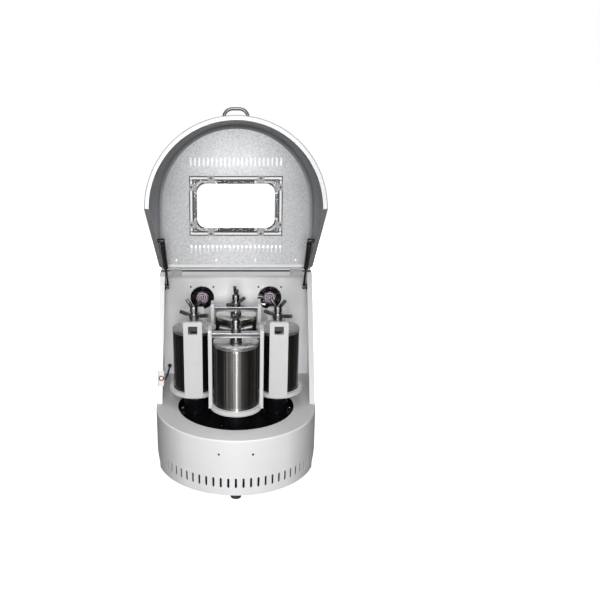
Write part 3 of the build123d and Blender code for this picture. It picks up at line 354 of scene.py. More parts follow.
def placed(tree, group, place, **values):
    """A group's node in a material, with its own values."""
    node = add(tree, "ShaderNodeGroup", node_tree=group)
    feed(tree, place, node.inputs["Vector"])
    for name, value in values.items():
        feed(tree, value, node.inputs[name])
    return node


def new_finish(name, group=None, **values):
    """A material with a Principled shader and, where one is named, a shared group."""
    material = bpy.data.materials.new(name)
    material.use_nodes = True
    tree = material.node_tree
    place = add(tree, "ShaderNodeTexCoord").outputs["Object"]
    surface = placed(tree, group, place, **values) if group else None
    return Finish(material, tree, tree.nodes["Principled BSDF"], place, surface)


def surfaced(name, group, relief, relief_depth, **values):
    """A material whose colour, roughness and relief come from a shared group."""
    made = new_finish(name, group, **values)
    put_out, inputs = made.surface.outputs, made.shader.inputs
    feed(made.tree, put_out["Colour"], inputs["Base Color"])
    feed(made.tree, put_out["Roughness"], inputs["Roughness"])
    bump(made.tree, made.shader, put_out["Height"], relief, relief_depth)
    return made


def painted(name, base, roughness, peel=0.12, ior=1.5):
    """A powder-coated sheet or casting."""
    made = surfaced(name, COAT, peel, 0.0004, Colour=base, Roughness=roughness)
    made.shader.inputs["IOR"].default_value = ior
    return made


def worked(name, base, roughness, stretch=(1, 1, 8), relief=0.05):
    """A bare steel piece."""
    made = surfaced(name, STEEL, relief, 0.0003, Colour=base, Roughness=roughness, Stretch=stretch)
    made.shader.inputs["Metallic"].default_value = 1.0
    return made


def moulded(name, base, roughness, grain=260.0, relief=0.1):
    """Plastic or rubber with a fine grain."""
    return surfaced(name, MOULDING, relief, 0.0003, Colour=base, Roughness=roughness, Grain=grain)


def galvanised(name, roughness, metal):
    """Zinc-coated sheet, whose colour each finish adds."""
    made = new_finish(name, ZINC, Roughness=roughness)
    put_out, inputs = made.surface.outputs, made.shader.inputs
    feed(made.tree, put_out["Roughness"], inputs["Roughness"])
    feed(made.tree, metal, inputs["Metallic"])
    bump(made.tree, made.shader, put_out["Height"], 0.12, 0.0003)
    return made


# Finishes of single parts


def window_margin(tree, place, up, depth):
    """Masks on the skin's inner face round the window: its margin, and the dark seal in its corners."""
    inner_face, face_slack = 0.0066, 0.0006
    margin_width, seal_width, corner_start = 0.014, 0.006, 0.004
    side, rise = from_middle(tree, place), away_from(tree, WINDOW_UP, up)
    past = [math_node(tree, "MAXIMUM", minus(tree, along, half - WINDOW_R), 0.0)
            for along, half in ((side, WINDOW_HALF_W), (rise, WINDOW_HALF_H))]
    reach = hypotenuse(tree, *past)
    on_face = less(tree, away_from(tree, inner_face, depth), face_slack)
    margin = all_of(tree, on_face, less(tree, reach, WINDOW_R + margin_width))
    in_corner = [more(tree, value, corner_start) for value in past]
    seal = all_of(tree, margin, *in_corner, less(tree, reach, WINDOW_R + seal_width))
    return margin, seal


def lid_finish():
    """White coat with painted shade: a dull grey inside the hood that darkens towards its top, a darker right side
    of the rim, the slanted flanges and the strip by the hinge, and a dark line round the rim's folded outer edge.
    """
    wall_r, fold_r = 0.2338, 0.2322
    skin_depth, below_rim, rim_depth = 0.0062, 0.3588, 0.3604
    before_slant, slant = -0.0049, -0.0036
    flange_up, liner_up = 0.004, 0.02
    # dull is the painted shade inside the hood
    white, dull = colour(0.75, 0.75, 0.76), colour(0.29, 0.305, 0.32)
    made = painted("lid_coat", white, 0.5)
    tree, place = made.tree, made.place
    up, depth, out, behind = placed(tree, LID_MEASURES, place).outputs
    within_skin = more(tree, depth, skin_depth)
    inside = all_of(tree, less(tree, out, wall_r), more(tree, up, liner_up), within_skin,
                    less(tree, depth, below_rim), less(tree, behind, before_slant))
    on_rim = more(tree, depth, rim_depth)
    # painted shade: the rim darker to the right, and inside the hood darker towards its top
    right_rim_shade = map_range(tree, split_place(tree, place)[0], 0.02, 0.2, 0.0, 1.0)
    inner_shade = map_range(tree, up, 0.06, 0.45, 1.45, 0.55)
    margin, seal = window_margin(tree, place, up, depth)
    # painted shade: a dark line round the rim's folded outer edge
    fold_shade = times(tree, all_of(tree, on_rim, more(tree, out, fold_r)), 0.85)
    tone = white
    for mask, shown in (
        (all_of(tree, on_rim, right_rim_shade), colour(0.6, 0.6, 0.61)),
        (inside, scaled(tree, dull, inner_shade)),
        (margin, colour(0.55, 0.56, 0.56)),
        (seal, colour(0.01, 0.01, 0.01)),
        # painted shade on the slanted flanges and on the strip by the hinge
        (more(tree, behind, slant), colour(0.25, 0.245, 0.24)),
        (all_of(tree, less(tree, up, flange_up), within_skin), colour(0.42, 0.42, 0.42)),
        (fold_shade, colour(0.2, 0.19, 0.19)),
    ):
        tone = mix_colour(tree, mask, tone, shown)
    feed(tree, tone, made.surface.inputs["Colour"])
    return made.material


def housing_finish():
    """White coat of the housing with painted shade towards the drum's sides, across the deck's sides, on the
    slanted flanges (darker to the right) and on the hinge flange, and a painted shadow line in the hinge gap.
    """
    deck_slack, slant_slack, slant_start = 0.0006, 0.0007, 0.001
    flange_h, flange_reach, gap_h = 0.0185, 0.0045, 0.0055
    white = colour(0.8, 0.8, 0.81)
    made = painted("housing_coat", white, 0.34)
    tree = made.tree
    x, y, z = split_place(tree, made.place)
    side = from_middle(tree, made.place)
    on_deck = less(tree, away_from(tree, DECK_Z, z), deck_slack)
    curved = map_range(tree, y, AXIS_Y - 0.03, AXIS_Y + 0.05, 1.0, 0.0)
    # painted shade: the drum darker towards its sides, and the deck darker towards its sides
    turned = times(tree, map_range(tree, side, 0.14, 0.235, 0.0, 0.45), curved)
    deck_shade = map_range(tree, side, 0.06, 0.225, 0.88, 0.62)
    shade = mix_value(tree, on_deck, minus(tree, 1.0, turned), deck_shade)
    run = times(tree, minus(tree, y, AXIS_Y), math.cos(SLOPE))
    rise = times(tree, minus(tree, z, DECK_Z), math.sin(SLOPE))
    on_slant = all_of(tree, less(tree, away_from(tree, rise, run), slant_slack),
                      more(tree, z, DECK_Z + slant_start))
    # painted shade on the slanted flanges, darker to the right
    rightwards = map_range(tree, x, -0.1, 0.1, 0.0, 1.0)
    slant_shade = mix_colour(tree, rightwards, colour(0.88, 0.88, 0.89), colour(0.58, 0.58, 0.59))
    # painted shade on the hinge flange, and a black painted shadow line in the gap at its top
    flange = all_of(tree, more(tree, z, TOP_Z - flange_h), less(tree, y, HINGE_Y + flange_reach))
    gap = all_of(tree, flange, more(tree, z, TOP_Z - gap_h))
    tone = mix_colour(tree, on_slant, scaled(tree, white, shade), slant_shade)
    tone = mix_colour(tree, flange, tone, colour(0.58, 0.58, 0.58))
    feed(tree, mix_colour(tree, gap, tone, colour(0.05, 0.05, 0.05)), made.surface.inputs["Colour"])
    return made.material


def wall_finish():
    """Smooth coat of the chamber's back wall with painted light low down and in its upper middle, and painted
    shade towards its upper sides.
    """
    made = painted("wall_coat", colour(0.8, 0.8, 0.8), 0.2, peel=0.05)
    tree = made.tree
    z = split_place(tree, made.place)[2]
    # painted light low down and in the upper middle, painted shade at the upper sides
    high_shade = map_range(tree, from_middle(tree, made.place), 0.03, 0.19, 1.1, 0.74)
    shade = mix_value(tree, map_range(tree, z, 0.29, 0.44, 0.0, 1.0), 1.22, high_shade)
    feed(tree, scaled(tree, colour(0.78, 0.78, 0.79), shade), made.surface.inputs["Colour"])
    return made.material


def clamp_finish(side):
    """Polished clamp steel with a painted highlight up the stem between painted dark reflections at its sides, and
    duller arms.
    """
    highlight_angle = -0.12
    made = worked(f"clamp_steel_{side}", colour(0.2, 0.195, 0.19), 0.38, (1, 1, 3))
    tree = made.tree
    around, reach = placed(tree, STATION_MEASURES, made.place, Centre=STATIONS[side]).outputs
    # painted highlight up the stem, with painted dark reflections to its sides
    stem_highlight = map_range(tree, away_from(tree, highlight_angle, around), 0.15, 0.55, 1.0, 0.0)
    stem = mix_colour(tree, stem_highlight, colour(0.045, 0.043, 0.045), colour(0.66, 0.655, 0.65))
    arm = map_range(tree, reach, 0.0125, 0.0145, 0.0, 1.0)
    feed(tree, mix_colour(tree, arm, stem, colour(0.17, 0.165, 0.16)), made.surface.inputs["Colour"])
    return made.material


def turned_wall(side):
    """Steel of a jar's turned wall with painted reflections: dark and bright streaks up the wall, round the jar's
    own axis.
    """
    edge_share, dark, shift = 0.15, 0.06, 60.0
    made = worked(f"jar_steel_{side}", colour(0.5, 0.49, 0.48), 0.2, (1, 1, 0.1), 0.03)
    tree = made.tree
    around = placed(tree, STATION_MEASURES, made.place, Centre=STATIONS[side]).outputs["Around"]
    fine = noise_along(tree, plus(tree, around, STATIONS[side][0] * shift), 9.0, 5.0, 0.7)
    # painted reflections: bright and dark bands by angle round the jar
    reflection_tone = 0.0
    for middle, half, strength in PAINTED_REFLECTIONS[side]:
        off = away_from(tree, middle, around)
        bright = map_range(tree, off, half * edge_share, half, strength, dark)
        reflection_tone = math_node(tree, "MAXIMUM", reflection_tone, bright)
    tone = times(tree, map_range(tree, fine, 0.4, 0.62, 0.18, 1.0), reflection_tone)
    steel_tone = mix_colour(tree, tone, colour(0.016, 0.015, 0.013), colour(0.9, 0.88, 0.85))
    feed(tree, steel_tone, made.surface.inputs["Colour"])
    made.shader.inputs["Metallic"].default_value = 0.92
    return made.material


def beam_finish():
    """Beam steel with painted light and shade: a painted highlight on top, a dark painted band under the top edge,
    a greyer front below, and painted shade on the ends in the posts' holes.
    """
    end_start = 0.0715
    made = worked("beam_steel", colour(0.32, 0.32, 0.33), 0.34, (1, 1, 6))
    tree = made.tree
    x, y, z = split_place(tree, made.place)
    from_axis = math_node(tree, "MINIMUM", math_node(tree, "ABSOLUTE", x), away_from(tree, AXIS_Y, y))
    below = minus(tree, BEAM_TOP_Z, z)
    tone = colour(0.42, 0.42, 0.44)
    # painted highlight on top, painted dark band under the edge, greyer front, painted shade on the ends in the
    # holes
    for mask, shown in (
        (map_range(tree, below, 0.0015, 0.003, 0.0, 1.0), colour(0.1, 0.1, 0.115)),
        (map_range(tree, below, 0.0075, 0.0095, 0.0, 1.0), colour(0.3, 0.3, 0.31)),
        (more(tree, from_axis, end_start), colour(0.09, 0.09, 0.09)),
    ):
        tone = mix_colour(tree, mask, tone, shown)
    feed(tree, tone, made.surface.inputs["Colour"])
    return made.material


def tray_finish():
    """Galvanised inner tray, with painted light towards its top and painted shade beside the lid's walls."""
    made = galvanised("tray_zinc", 0.6, 0.12)
    tree = made.tree
    up = placed(tree, LID_MEASURES, made.place).outputs["Up"]
    # painted light towards the top and painted shade beside the lid's walls
    top_light = map_range(tree, up, 0.25, 0.4, 1.0, 1.5)
    outer = map_range(tree, from_middle(tree, made.place), 0.04, 0.2, 1.06, 0.78)
    tone = times(tree, made.surface.outputs["Tone"], times(tree, top_light, outer))
    feed(tree, scaled(tree, colour(0.6, 0.605, 0.62), tone), made.shader.inputs["Base Color"])
    return made.material


def bars_finish():
    """The window's galvanised bars: a bright middle between painted shadow along their edges, grey clamps and dark
    screws.
    """
    bar_middle, joint_reach, joint_low, joint_high = 0.0058, 0.012, 0.0108, 0.0128
    clamp_depth, screw_depth = 0.0215, 0.0232
    made = galvanised("bar_zinc", 0.5, 0.25)
    tree, place = made.tree, made.place
    lid = placed(tree, LID_MEASURES, place).outputs
    across = minus(tree, BARS_HALF_W, from_middle(tree, place))
    above = minus(tree, BARS_HALF_H, away_from(tree, WINDOW_UP, lid["Up"]))
    inset = math_node(tree, "MINIMUM", across, above)
    core = map_range(tree, away_from(tree, bar_middle, inset), 0.0022, 0.0036, 1.0, 0.0)
    joint = all_of(tree, less(tree, across, joint_reach), less(tree, above, joint_high),
                   more(tree, above, joint_low))
    # the dark base is painted shadow along the bars' edges; the core is the bars' bright face
    tone = colour(0.035, 0.035, 0.036)
    for mask, shown in (
        (core, colour(0.6, 0.6, 0.61)),
        (joint, colour(0.05, 0.05, 0.05)),
        (more(tree, lid["Depth"], clamp_depth), colour(0.27, 0.27, 0.275)),
        (more(tree, lid["Depth"], screw_depth), colour(0.03, 0.03, 0.03)),
    ):
        tone = mix_colour(tree, mask, tone, shown)
    feed(tree, scaled(tree, tone, made.surface.outputs["Tone"]), made.shader.inputs["Base Color"])
    return made.material


def fittings_finish(name, on_lid):
    """Galvanised hinge leaves, and black strut brackets away from the hinge."""
    leaf_depth = 0.036
    made = galvanised(name, 0.5, 0.3)
    tree, place = made.tree, made.place
    if on_lid:
        below = placed(tree, LID_MEASURES, place).outputs["Depth"]
    else:
        below = minus(tree, HINGE_Z, split_place(tree, place)[2])
    leaf = scaled(tree, colour(0.36, 0.36, 0.365), made.surface.outputs["Tone"])
    tone = mix_colour(tree, more(tree, below, leaf_depth), leaf, colour(0.012, 0.012, 0.012))
    feed(tree, tone, made.shader.inputs["Base Color"])
    return made.material


def greyed_edges(made, off, start, end, edge_tone):
    """A moulding that turns to another tone from start to end, off its middle."""
    edge = map_range(made.tree, off, start, end, 0.0, 1.0)
    tone = mix_colour(made.tree, edge, made.surface.outputs["Colour"], edge_tone)
    feed(made.tree, tone, made.shader.inputs["Base Color"])
    return made.material


def switch_finish():
    """White moulding of the interlock switch, with painted shade along its two long edges."""
    made = moulded("switch_plastic", colour(0.72, 0.72, 0.72), 0.45)
    off = away_from(made.tree, SWITCH_X, split_place(made.tree, made.place)[0])
    # painted shade along the switch's long edges
    return greyed_edges(made, off, 0.0068, 0.0076, colour(0.32, 0.32, 0.33))


def gasket_finish():
    """Black rubber of the window's gasket, greyed on its two short sides."""
    made = moulded("gasket_rubber", colour(0.012, 0.012, 0.012), 0.7, 180.0, 0.01)
    return greyed_edges(made, from_middle(made.tree, made.place), 0.1, 0.104, colour(0.11, 0.11, 0.11))


def clear_pane():
    """Clear acrylic with faint smears."""
    made = new_finish("clear_pane")
    smear = noise(made.tree, made.place, 16.0, 4.0)
    feed(made.tree, map_range(made.tree, smear, 0.35, 0.75, 0.03, 0.12), made.shader.inputs["Roughness"])
    made.shader.inputs["Base Color"].default_value = colour(0.3, 0.31, 0.31)
    made.shader.inputs["Alpha"].default_value = 0.06
    return made.material


def ring_label_finish():
    """Foil with fine rings about each fan's middle."""
    ring_rate = 1000.0
    made = new_finish("ring_foil")
    tree, inputs = made.tree, made.shader.inputs
    across = minus(tree, from_middle(tree, made.place), FAN_X)
    up = minus(tree, split_place(tree, made.place)[2], FAN_Z)
    uneven = map_range(tree, noise(tree, made.place, 90.0, 3.0), 0.3, 0.7, -1.6, 1.6)
    phase = plus(tree, times(tree, hypotenuse(tree, across, up), ring_rate), uneven)
    wave = math_node(tree, "SINE", phase)
    rings = map_range(tree, wave, -0.3, 0.5, 0.0, 1.0)
    wear = noise(tree, made.place, 300.0, 2.0)
    tone = mix_colour(tree, rings, colour(0.09, 0.07, 0.09), colour(0.72, 0.58, 0.7))
    feed(tree, tone, inputs["Base Color"])
    feed(tree, map_range(tree, wear, 0.3, 0.7, 0.22, 0.4), inputs["Roughness"])
    inputs["Metallic"].default_value = 0.25
    bump(tree, made.shader, wave, 0.2, 0.0002)
    return made.material


# The machine's finishes, by material slot and by node

black_coat = painted("black_coat", colour(0.004, 0.004, 0.005), 0.3, peel=0.04, ior=1.15).material
dark_screws = painted("dark_screws", colour(0.02, 0.02, 0.02), 0.4).material
strut_coat = painted("strut_coat", colour(0.008, 0.008, 0.008), 0.22).material
carrier_coat = painted("carrier_coat", colour(0.6, 0.6, 0.605), 0.34).material
zinc_plate = worked("zinc_plate", colour(0.66, 0.67, 0.69), 0.3).material
copper = worked("washer_copper", colour(0.36, 0.17, 0.06), 0.4).material
beam_steel = beam_finish()
black_rubber = moulded("black_rubber", colour(0.012, 0.012, 0.012), 0.6, 180.0, 0.15).material
black_plastic = moulded("black_plastic", colour(0.012, 0.011, 0.013), 0.36).material
pane = clear_pane()

slot_finish = {
    "white_paint": painted("white_coat", colour(0.80, 0.80, 0.81), 0.34).material,
    "wall_paint": wall_finish(),
    "black_paint": black_coat,
    "motor_paint": painted("motor_coat", colour(0.11, 0.13, 0.16), 0.45, 0.3).material,
    "strut_paint": strut_coat,
    "cast_grey": painted("cast_grey", colour(0.2, 0.21, 0.22), 0.55, 0.4).material,
    "plain_steel": worked("machine_steel", colour(0.5, 0.51, 0.53), 0.38).material,
    "bright_steel": zinc_plate,
    "jar_steel": worked("jar_lid_steel", colour(0.5, 0.495, 0.475), 0.3, (1, 1, 4)).material,
    "galvanised": tray_finish(),
    "bar_zinc": bars_finish(),
    "belt_rubber": black_rubber,
    "foot_rubber": black_rubber,
    "cable_rubber": black_rubber,
    "black_plastic": black_plastic,
    "fan_plastic": black_plastic,
    "unit_plastic": moulded("unit_plastic", colour(0.1, 0.1, 0.11), 0.5).material,
    "switch_plastic": switch_finish(),
    "window_clear": pane,
}
node_finish = {
    "lid_shell": lid_finish(),
    "housing_shell": housing_finish(),
    "lid_fittings": fittings_finish("lid_fittings_zinc", True),
    "housing_fittings": fittings_finish("housing_fittings_zinc", False),
    "lid_handle": worked("handle_steel", colour(0.13, 0.125, 0.12), 0.28, (1, 1, 3)).material,
    "panel_screws": dark_screws,
    "strut_rod_left": strut_coat,
    "strut_rod_right": strut_coat,
    "window_gasket": gasket_finish(),
}
for side in STATIONS:
    node_finish[f"jar_{side}"] = turned_wall(side)
    node_finish[f"cross_beam_{side}"] = beam_steel
    node_finish[f"carrier_{side}"] = carrier_coat
    clamp_steel = clamp_finish(side)
    node_finish[f"clamp_screw_{side}"] = clamp_steel
    node_finish[f"lock_nut_{side}"] = clamp_steel
for entry in frame["record"]["subparts"]:
    finish = node_finish.get(entry["node"]) or slot_finish[entry["material_slot"]]
    materials = frame["nodes"][entry["node"]].data.materials
    materials.clear()
    materials.append(finish)


# Meshes of the pieces added to the machine


def head_row_tree():
    """Screw or rivet heads in a row: a tapered head at each point of a line."""
    group = bpy.data.node_groups.new("head_row", "GeometryNodeTree")
    group.interface.new_socket("Geometry", in_out="OUTPUT", socket_type="NodeSocketGeometry")
    group.interface.new_socket("Finish", in_out="INPUT", socket_type="NodeSocketMaterial")
    for label, kind, value in (
        ("Count", "NodeSocketInt", 2), ("Start", VECTOR, (0, 0, 0)), ("Step", VECTOR, (0.01, 0, 0)),
        ("Radius", VALUE, 0.003), ("Height", VALUE, 0.0015), ("Turn", VECTOR, (0, 0, 0)),
    ):
        group.interface.new_socket(label, in_out="INPUT", socket_type=kind).default_value = value
    given, put_out = add(group, "NodeGroupInput").outputs, add(group, "NodeGroupOutput").inputs
    line = add(group, "GeometryNodeMeshLine")
    head = add(group, "GeometryNodeMeshCone")
    head.inputs["Vertices"].default_value = 20
    narrow = times(group, given["Radius"], 0.72)
    turn = add(group, "FunctionNodeEulerToRotation")
    place = add(group, "GeometryNodeInstanceOnPoints")
    real = add(group, "GeometryNodeRealizeInstances")
    finish = add(group, "GeometryNodeSetMaterial")
    for output, socket in (
        (given["Count"], line.inputs["Count"]), (given["Start"], line.inputs["Start Location"]),
        (given["Step"], line.inputs["Offset"]), (narrow, head.inputs["Radius Top"]),
        (given["Radius"], head.inputs["Radius Bottom"]), (given["Height"], head.inputs["Depth"]),
        (given["Turn"], turn.inputs[0]), (line.outputs["Mesh"], place.inputs["Points"]),
        (head.outputs["Mesh"], place.inputs["Instance"]), (turn.outputs[0], place.inputs["Rotation"]),
        (place.outputs[0], real.inputs[0]), (real.outputs[0], finish.inputs["Geometry"]),
        (given["Finish"], finish.inputs["Material"]), (finish.outputs[0], put_out[0]),
    ):
        group.links.new(output, socket)
    return group


HEAD_ROW = head_row_tree()


def head_row(**values):
    """The mesh of one row of heads with these inputs."""
    blank = bpy.data.objects.new("head_blank", bpy.data.meshes.new("head_blank"))
    bpy.context.scene.collection.objects.link(blank)
    modifier = blank.modifiers.new("row", "NODES")
    modifier.node_group = HEAD_ROW
    for item in HEAD_ROW.interface.items_tree:
        if item.in_out == "INPUT" and item.name in values:
            modifier[item.identifier] = values[item.name]
    graph = bpy.context.evaluated_depsgraph_get()
    mesh = bpy.data.meshes.new_from_object(blank.evaluated_get(graph))
    bpy.data.objects.remove(blank)
    return mesh


def disc_mesh(radius, depth, middle, turn):
    """A low round plate."""
    made = bmesh.new()
    place = Matrix.Translation(middle) @ turn
    bmesh.ops.create_cone(made, cap_ends=True, segments=48, radius1=radius, radius2=radius, depth=depth,
                          matrix=place)
    mesh = bpy.data.meshes.new("disc")
    made.to_mesh(mesh)
    made.free()
    return mesh


def washer_mesh(outer, inner, depth, place):
    """A flat ring, put in its place by a matrix."""
    count, verts, faces = 40, [], []
    for radius, z in ((outer, 0), (outer, depth), (inner, depth), (inner, 0)):
        turns = (2 * math.pi * n / count for n in range(count))
        verts += [place @ Vector((radius * math.cos(t), radius * math.sin(t), z)) for t in turns]
    for row in range(4):
        low, high = row * count, (row + 1) % 4 * count
        faces += [(low + n, low + (n + 1) % count, high + (n + 1) % count, high + n) for n in range(count)]
    mesh = bpy.data.meshes.new("washer")
    mesh.from_pydata([tuple(v) for v in verts], [], faces)
    return mesh


def lid_turn():
    """The turn from the closed lid to the open lid."""
    hinge = Vector((0, HINGE_Y, HINGE_Z))
    turn = Matrix.Rotation(math.radians(-OPEN_DEG), 4, "X")
    return Matrix.Translation(hinge) @ turn @ Matrix.Translation(-hinge)


def opened(mesh):
    """Turns a mesh made on the closed lid to the open lid."""
    mesh.transform(lid_turn())
    return mesh


# Pieces added to the machine


def piece(name, meshes, body, finish):
    """One piece made of several meshes, riding on a body."""
    whole = bmesh.new()
    for mesh in meshes:
        whole.from_mesh(mesh)
        bpy.data.meshes.remove(mesh)
    merged = bpy.data.meshes.new(name)
    whole.to_mesh(merged)
    whole.free()
    merged.materials.append(finish)
    made = bpy.data.objects.new(name, merged)
    bpy.context.scene.collection.objects.link(made)
    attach(made, body)
    return made


def bolt_faces():
    """Bright zinc discs on the bolts round the bearing housings, as painted glints."""
    ring, radius, depth, below_deck = 0.0395, 0.0026, 0.0004, 0.0118
    faces = []
    for x, y, _ in STATIONS.values():
        for angle in (0, math.pi / 2, math.pi, 3 * math.pi / 2):
            place = (x + ring * math.cos(angle), y + ring * math.sin(angle), DECK_Z - below_deck)
            faces.append(disc_mesh(radius, depth, place, Matrix.Identity(4)))
    # bright discs standing in for glints on the black bolts
    piece("bolt_faces", faces, "turntable", zinc_plate)


def switch_washer():
    """Copper-coloured washer and dark plate round the interlock plunger."""
    bore, depth = 0.0033, 0.0004
    middle = Vector((SWITCH_X, AXIS_Y + SWITCH_RISE * math.tan(SLOPE), DECK_Z + SWITCH_RISE))
    out = Vector((0, -math.cos(SLOPE), math.sin(SLOPE)))
    turn = Matrix.Rotation(math.pi / 2 - SLOPE, 4, "X")
    for name, radius, lift, finish in (
        ("switch_plate", 0.0078, 0.0010, black_coat),
        ("switch_washer", 0.0054, 0.0014, copper),
    ):
        place = Matrix.Translation(middle + out * lift) @ turn
        piece(name, [washer_mesh(radius, bore, depth, place)], "housing", finish)


def fan_labels():
    """Round foil labels on the two fan hubs."""
    radius, depth, behind_wall = 0.0195, 0.0002, 0.0022
    foil = ring_label_finish()
    turn = Matrix.Rotation(math.pi / 2, 4, "X")
    for side, x in (("left", -FAN_X), ("right", FAN_X)):
        mesh = disc_mesh(radius, depth, (x, WALL_Y + behind_wall, FAN_Z), turn)
        piece(f"fan_label_{side}", [mesh], f"fan_rotor_{side}", foil)


def tray_rivets():
    """Two pairs of rivets on the lid's inner tray, near the hinge."""
    gap, inward, below_top = 0.122, 0.028, 0.0105
    rows = []
    for start in (-0.182, 0.060):
        row = head_row(Count=2, Start=(start, HINGE_Y - inward, TOP_Z - below_top), Step=(gap, 0, 0),
                       Radius=0.0026, Height=0.0011, Turn=(math.pi, 0, 0), Finish=zinc_plate)
        rows.append(opened(row))
    piece("tray_rivets", rows, "lid", zinc_plate)


def bracket_screws():
    """Two screws on each strut bracket of the housing."""
    wall_x, place_y, low_z, gap = 0.2300, 0.054, 0.490, 0.026
    rows = [head_row(Count=2, Start=(side * wall_x, place_y, low_z), Step=(0, 0, gap), Radius=0.0028,
                     Height=0.0016, Turn=(0, -side * math.pi / 2, 0), Finish=dark_screws)
            for side in (-1, 1)]
    piece("bracket_screws", rows, "housing", dark_screws)


def clear_sheet():
    """The window's pane a little thinner than its solid, so that it lies clear of the gasket and the bars."""
    thinner, below_top = 0.92, 0.007
    node = frame["nodes"]["window_pane"]
    mesh = node.data.copy()
    mesh.transform(lid_turn().inverted() @ node.matrix_world)
    middle = Matrix.Translation((0, 0, TOP_Z - below_top))
    mesh.transform(middle @ Matrix.Diagonal((1, 1, thinner, 1)) @ middle.inverted())
    sheet = piece("clear_sheet", [opened(mesh)], "lid", pane)
    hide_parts("window_pane")


bolt_faces()
switch_washer()
fan_labels()
tray_rivets()
bracket_screws()
clear_sheet()


# Floor, world, lamps and camera


def seen_rays(tree, *kinds):
    """One where any of the named kinds of ray looks at the surface, zero elsewhere."""
    path = add(tree, "ShaderNodeLightPath")
    total = path.outputs[kinds[0]]
    for kind in kinds[1:]:
        total = math_node(tree, "ADD", total, path.outputs[kind], clamp=True)
    return total


def upright_panels(tree, x, y, scale, low, high):
    """Bright upright panels against the dark, darker to the sides, and the angle of the direction (x, y)."""
    around = math_node(tree, "ARCTAN2", x, times(tree, y, -1.0))
    bands = noise_along(tree, around, scale, 2.0, 0.5)
    to_side = map_range(tree, math_node(tree, "ABSOLUTE", around), 0.5, 1.2, 1.0, 0.05)
    return times(tree, map_range(tree, bands, 0.5, 0.64, low, high), to_side), around


def floor_finish():
    """Pale floor that brightens with distance for the camera and throws little light back."""
    glint_angle = -0.02
    made = new_finish("studio_floor")
    tree, inputs = made.tree, made.shader.inputs
    seen = seen_rays(tree, "Is Camera Ray", "Is Transmission Ray")
    tone = map_range(tree, seen, 0.0, 1.0, 0.2, 0.9)
    feed(tree, mix_colour(tree, tone, colour(0, 0, 0), colour(1, 1, 1)), inputs["Base Color"])
    inputs["Roughness"].default_value = 0.9
    inputs["Specular IOR Level"].default_value = 0.0
    reach = add(tree, "ShaderNodeVectorMath", operation="LENGTH")
    feed(tree, made.place, reach.inputs[0])
    far = map_range(tree, reach.outputs["Value"], 0.6, 2.6, 0.78, 1.0)
    x, y, _ = split_place(tree, made.place)
    panels, around = upright_panels(tree, x, minus(tree, y, AXIS_Y), 5.0, 0.02, 0.5)
    glint = map_range(tree, away_from(tree, glint_angle, around), 0.05, 0.13, 1.1, 0.0)
    mirrored = times(tree, math_node(tree, "MAXIMUM", panels, glint), seen_rays(tree, "Is Glossy Ray"))
    glow = add(tree, "ShaderNodeEmission")
    feed(tree, plus(tree, times(tree, far, seen), mirrored), glow.inputs["Strength"])
    both = add(tree, "ShaderNodeAddShader")
    feed(tree, made.shader.outputs[0], both.inputs[0])
    feed(tree, glow.outputs[0], both.inputs[1])
    feed(tree, both.outputs[0], tree.nodes["Material Output"].inputs["Surface"])
    return made.material


def studio_world():
    """White backdrop for the camera, a dim room with bright upright panels for everything else."""
    dim, white = 0.07, 1.0
    world = bpy.data.worlds.new("studio")
    bpy.context.scene.world = world
    world.use_nodes = True
    tree = world.node_tree
    tree.nodes.clear()
    x, y, z = split_place(tree, add(tree, "ShaderNodeTexCoord").outputs["Generated"])
    panels = upright_panels(tree, x, y, 2.3, 0.03, 0.95)[0]
    mirrored = times(tree, panels, map_range(tree, z, -0.25, 0.35, 0.3, 1.0))
    lit = mix_value(tree, seen_rays(tree, "Is Glossy Ray"), dim, mirrored)
    seen = seen_rays(tree, "Is Camera Ray", "Is Transmission Ray")
    shown = add(tree, "ShaderNodeBackground")
    shown.inputs["Color"].default_value = colour(1, 1, 1)
    feed(tree, mix_value(tree, seen, lit, white), shown.inputs["Strength"])
    feed(tree, shown.outputs[0], add(tree, "ShaderNodeOutputWorld").inputs["Surface"])


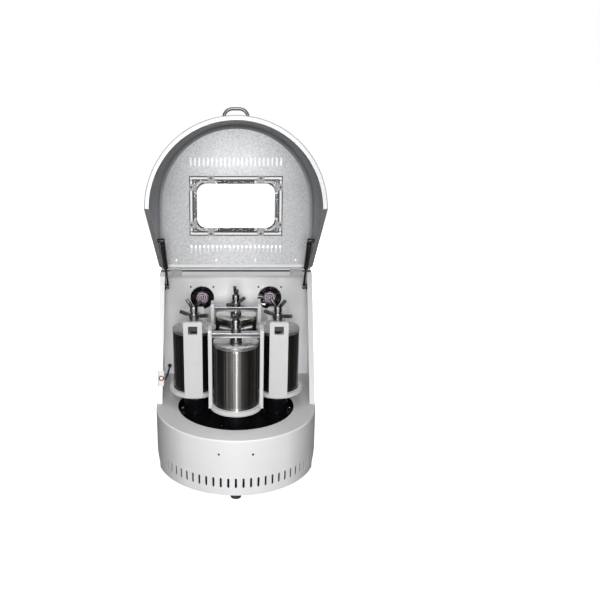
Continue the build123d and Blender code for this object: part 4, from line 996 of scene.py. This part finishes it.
def lamp(name, place, size, power, aim):
    """A soft rectangular lamp aimed at the machine."""
    data = bpy.data.lights.new(name, "AREA")
    data.shape = "RECTANGLE"
    data.size, data.size_y = size
    data.energy = power
    made = bpy.data.objects.new(name, data)
    made.location = place
    made.rotation_euler = (Vector(aim) - Vector(place)).to_track_quat("-Z", "Y").to_euler()
    bpy.context.scene.collection.objects.link(made)


def stage():
    """Pale floor, white surroundings, soft lamps from the front and weaker ones for the sides and back."""
    mesh = bpy.data.meshes.new("floor")
    far = 14.0
    mesh.from_pydata([(-far, -far, 0), (far, -far, 0), (far, far, 0), (-far, far, 0)], [], [(0, 1, 2, 3)])
    floor = bpy.data.objects.new("floor", mesh)
    bpy.context.scene.collection.objects.link(floor)
    mesh.materials.append(floor_finish())
    studio_world()
    lamp("key", (0.0, -2.6, 1.45), (1.0, 1.0), 45.0, (0, AXIS_Y, 0.15))
    lamp("fill", (0.0, -2.5, 0.85), (0.7, 0.5), 18.0, (0, AXIS_Y, 0.75))
    lamp("top", (0.0, -1.0, 2.4), (1.2, 1.2), 15.0, (0, AXIS_Y, 0.5))
    lamp("high", (0.0, 1.5, 2.6), (1.6, 1.6), 17.0, (0, 0.1, 0.6))
    lamp("back", (0.0, 3.0, 1.1), (1.6, 1.6), 19.0, (0, 0.3, 0.5))
    for side in (-1, 1):
        lamp("side", (side * 2.7, 0.9, 1.1), (1.4, 1.4), 20.0, (0, 0.15, 0.5))


def camera():
    """Camera at the photograph's place."""
    in_front, above_deck, tilt_deg = 2.0147, 0.9243, 17.147
    data = bpy.data.cameras.new("camera")
    data.sensor_width = 36.0
    data.lens = 44.37
    data.shift_x, data.shift_y = 0.1068, 0.01126
    data.dof.use_dof = False
    cam = bpy.data.objects.new("camera", data)
    cam.location = (0.0, AXIS_Y - in_front, DECK_Z + above_deck)
    cam.rotation_euler = (math.radians(90 - tilt_deg), 0, 0)
    bpy.context.scene.collection.objects.link(cam)
    bpy.context.scene.camera = cam


stage()
camera()
bpy.context.scene.view_settings.view_transform = "Standard"
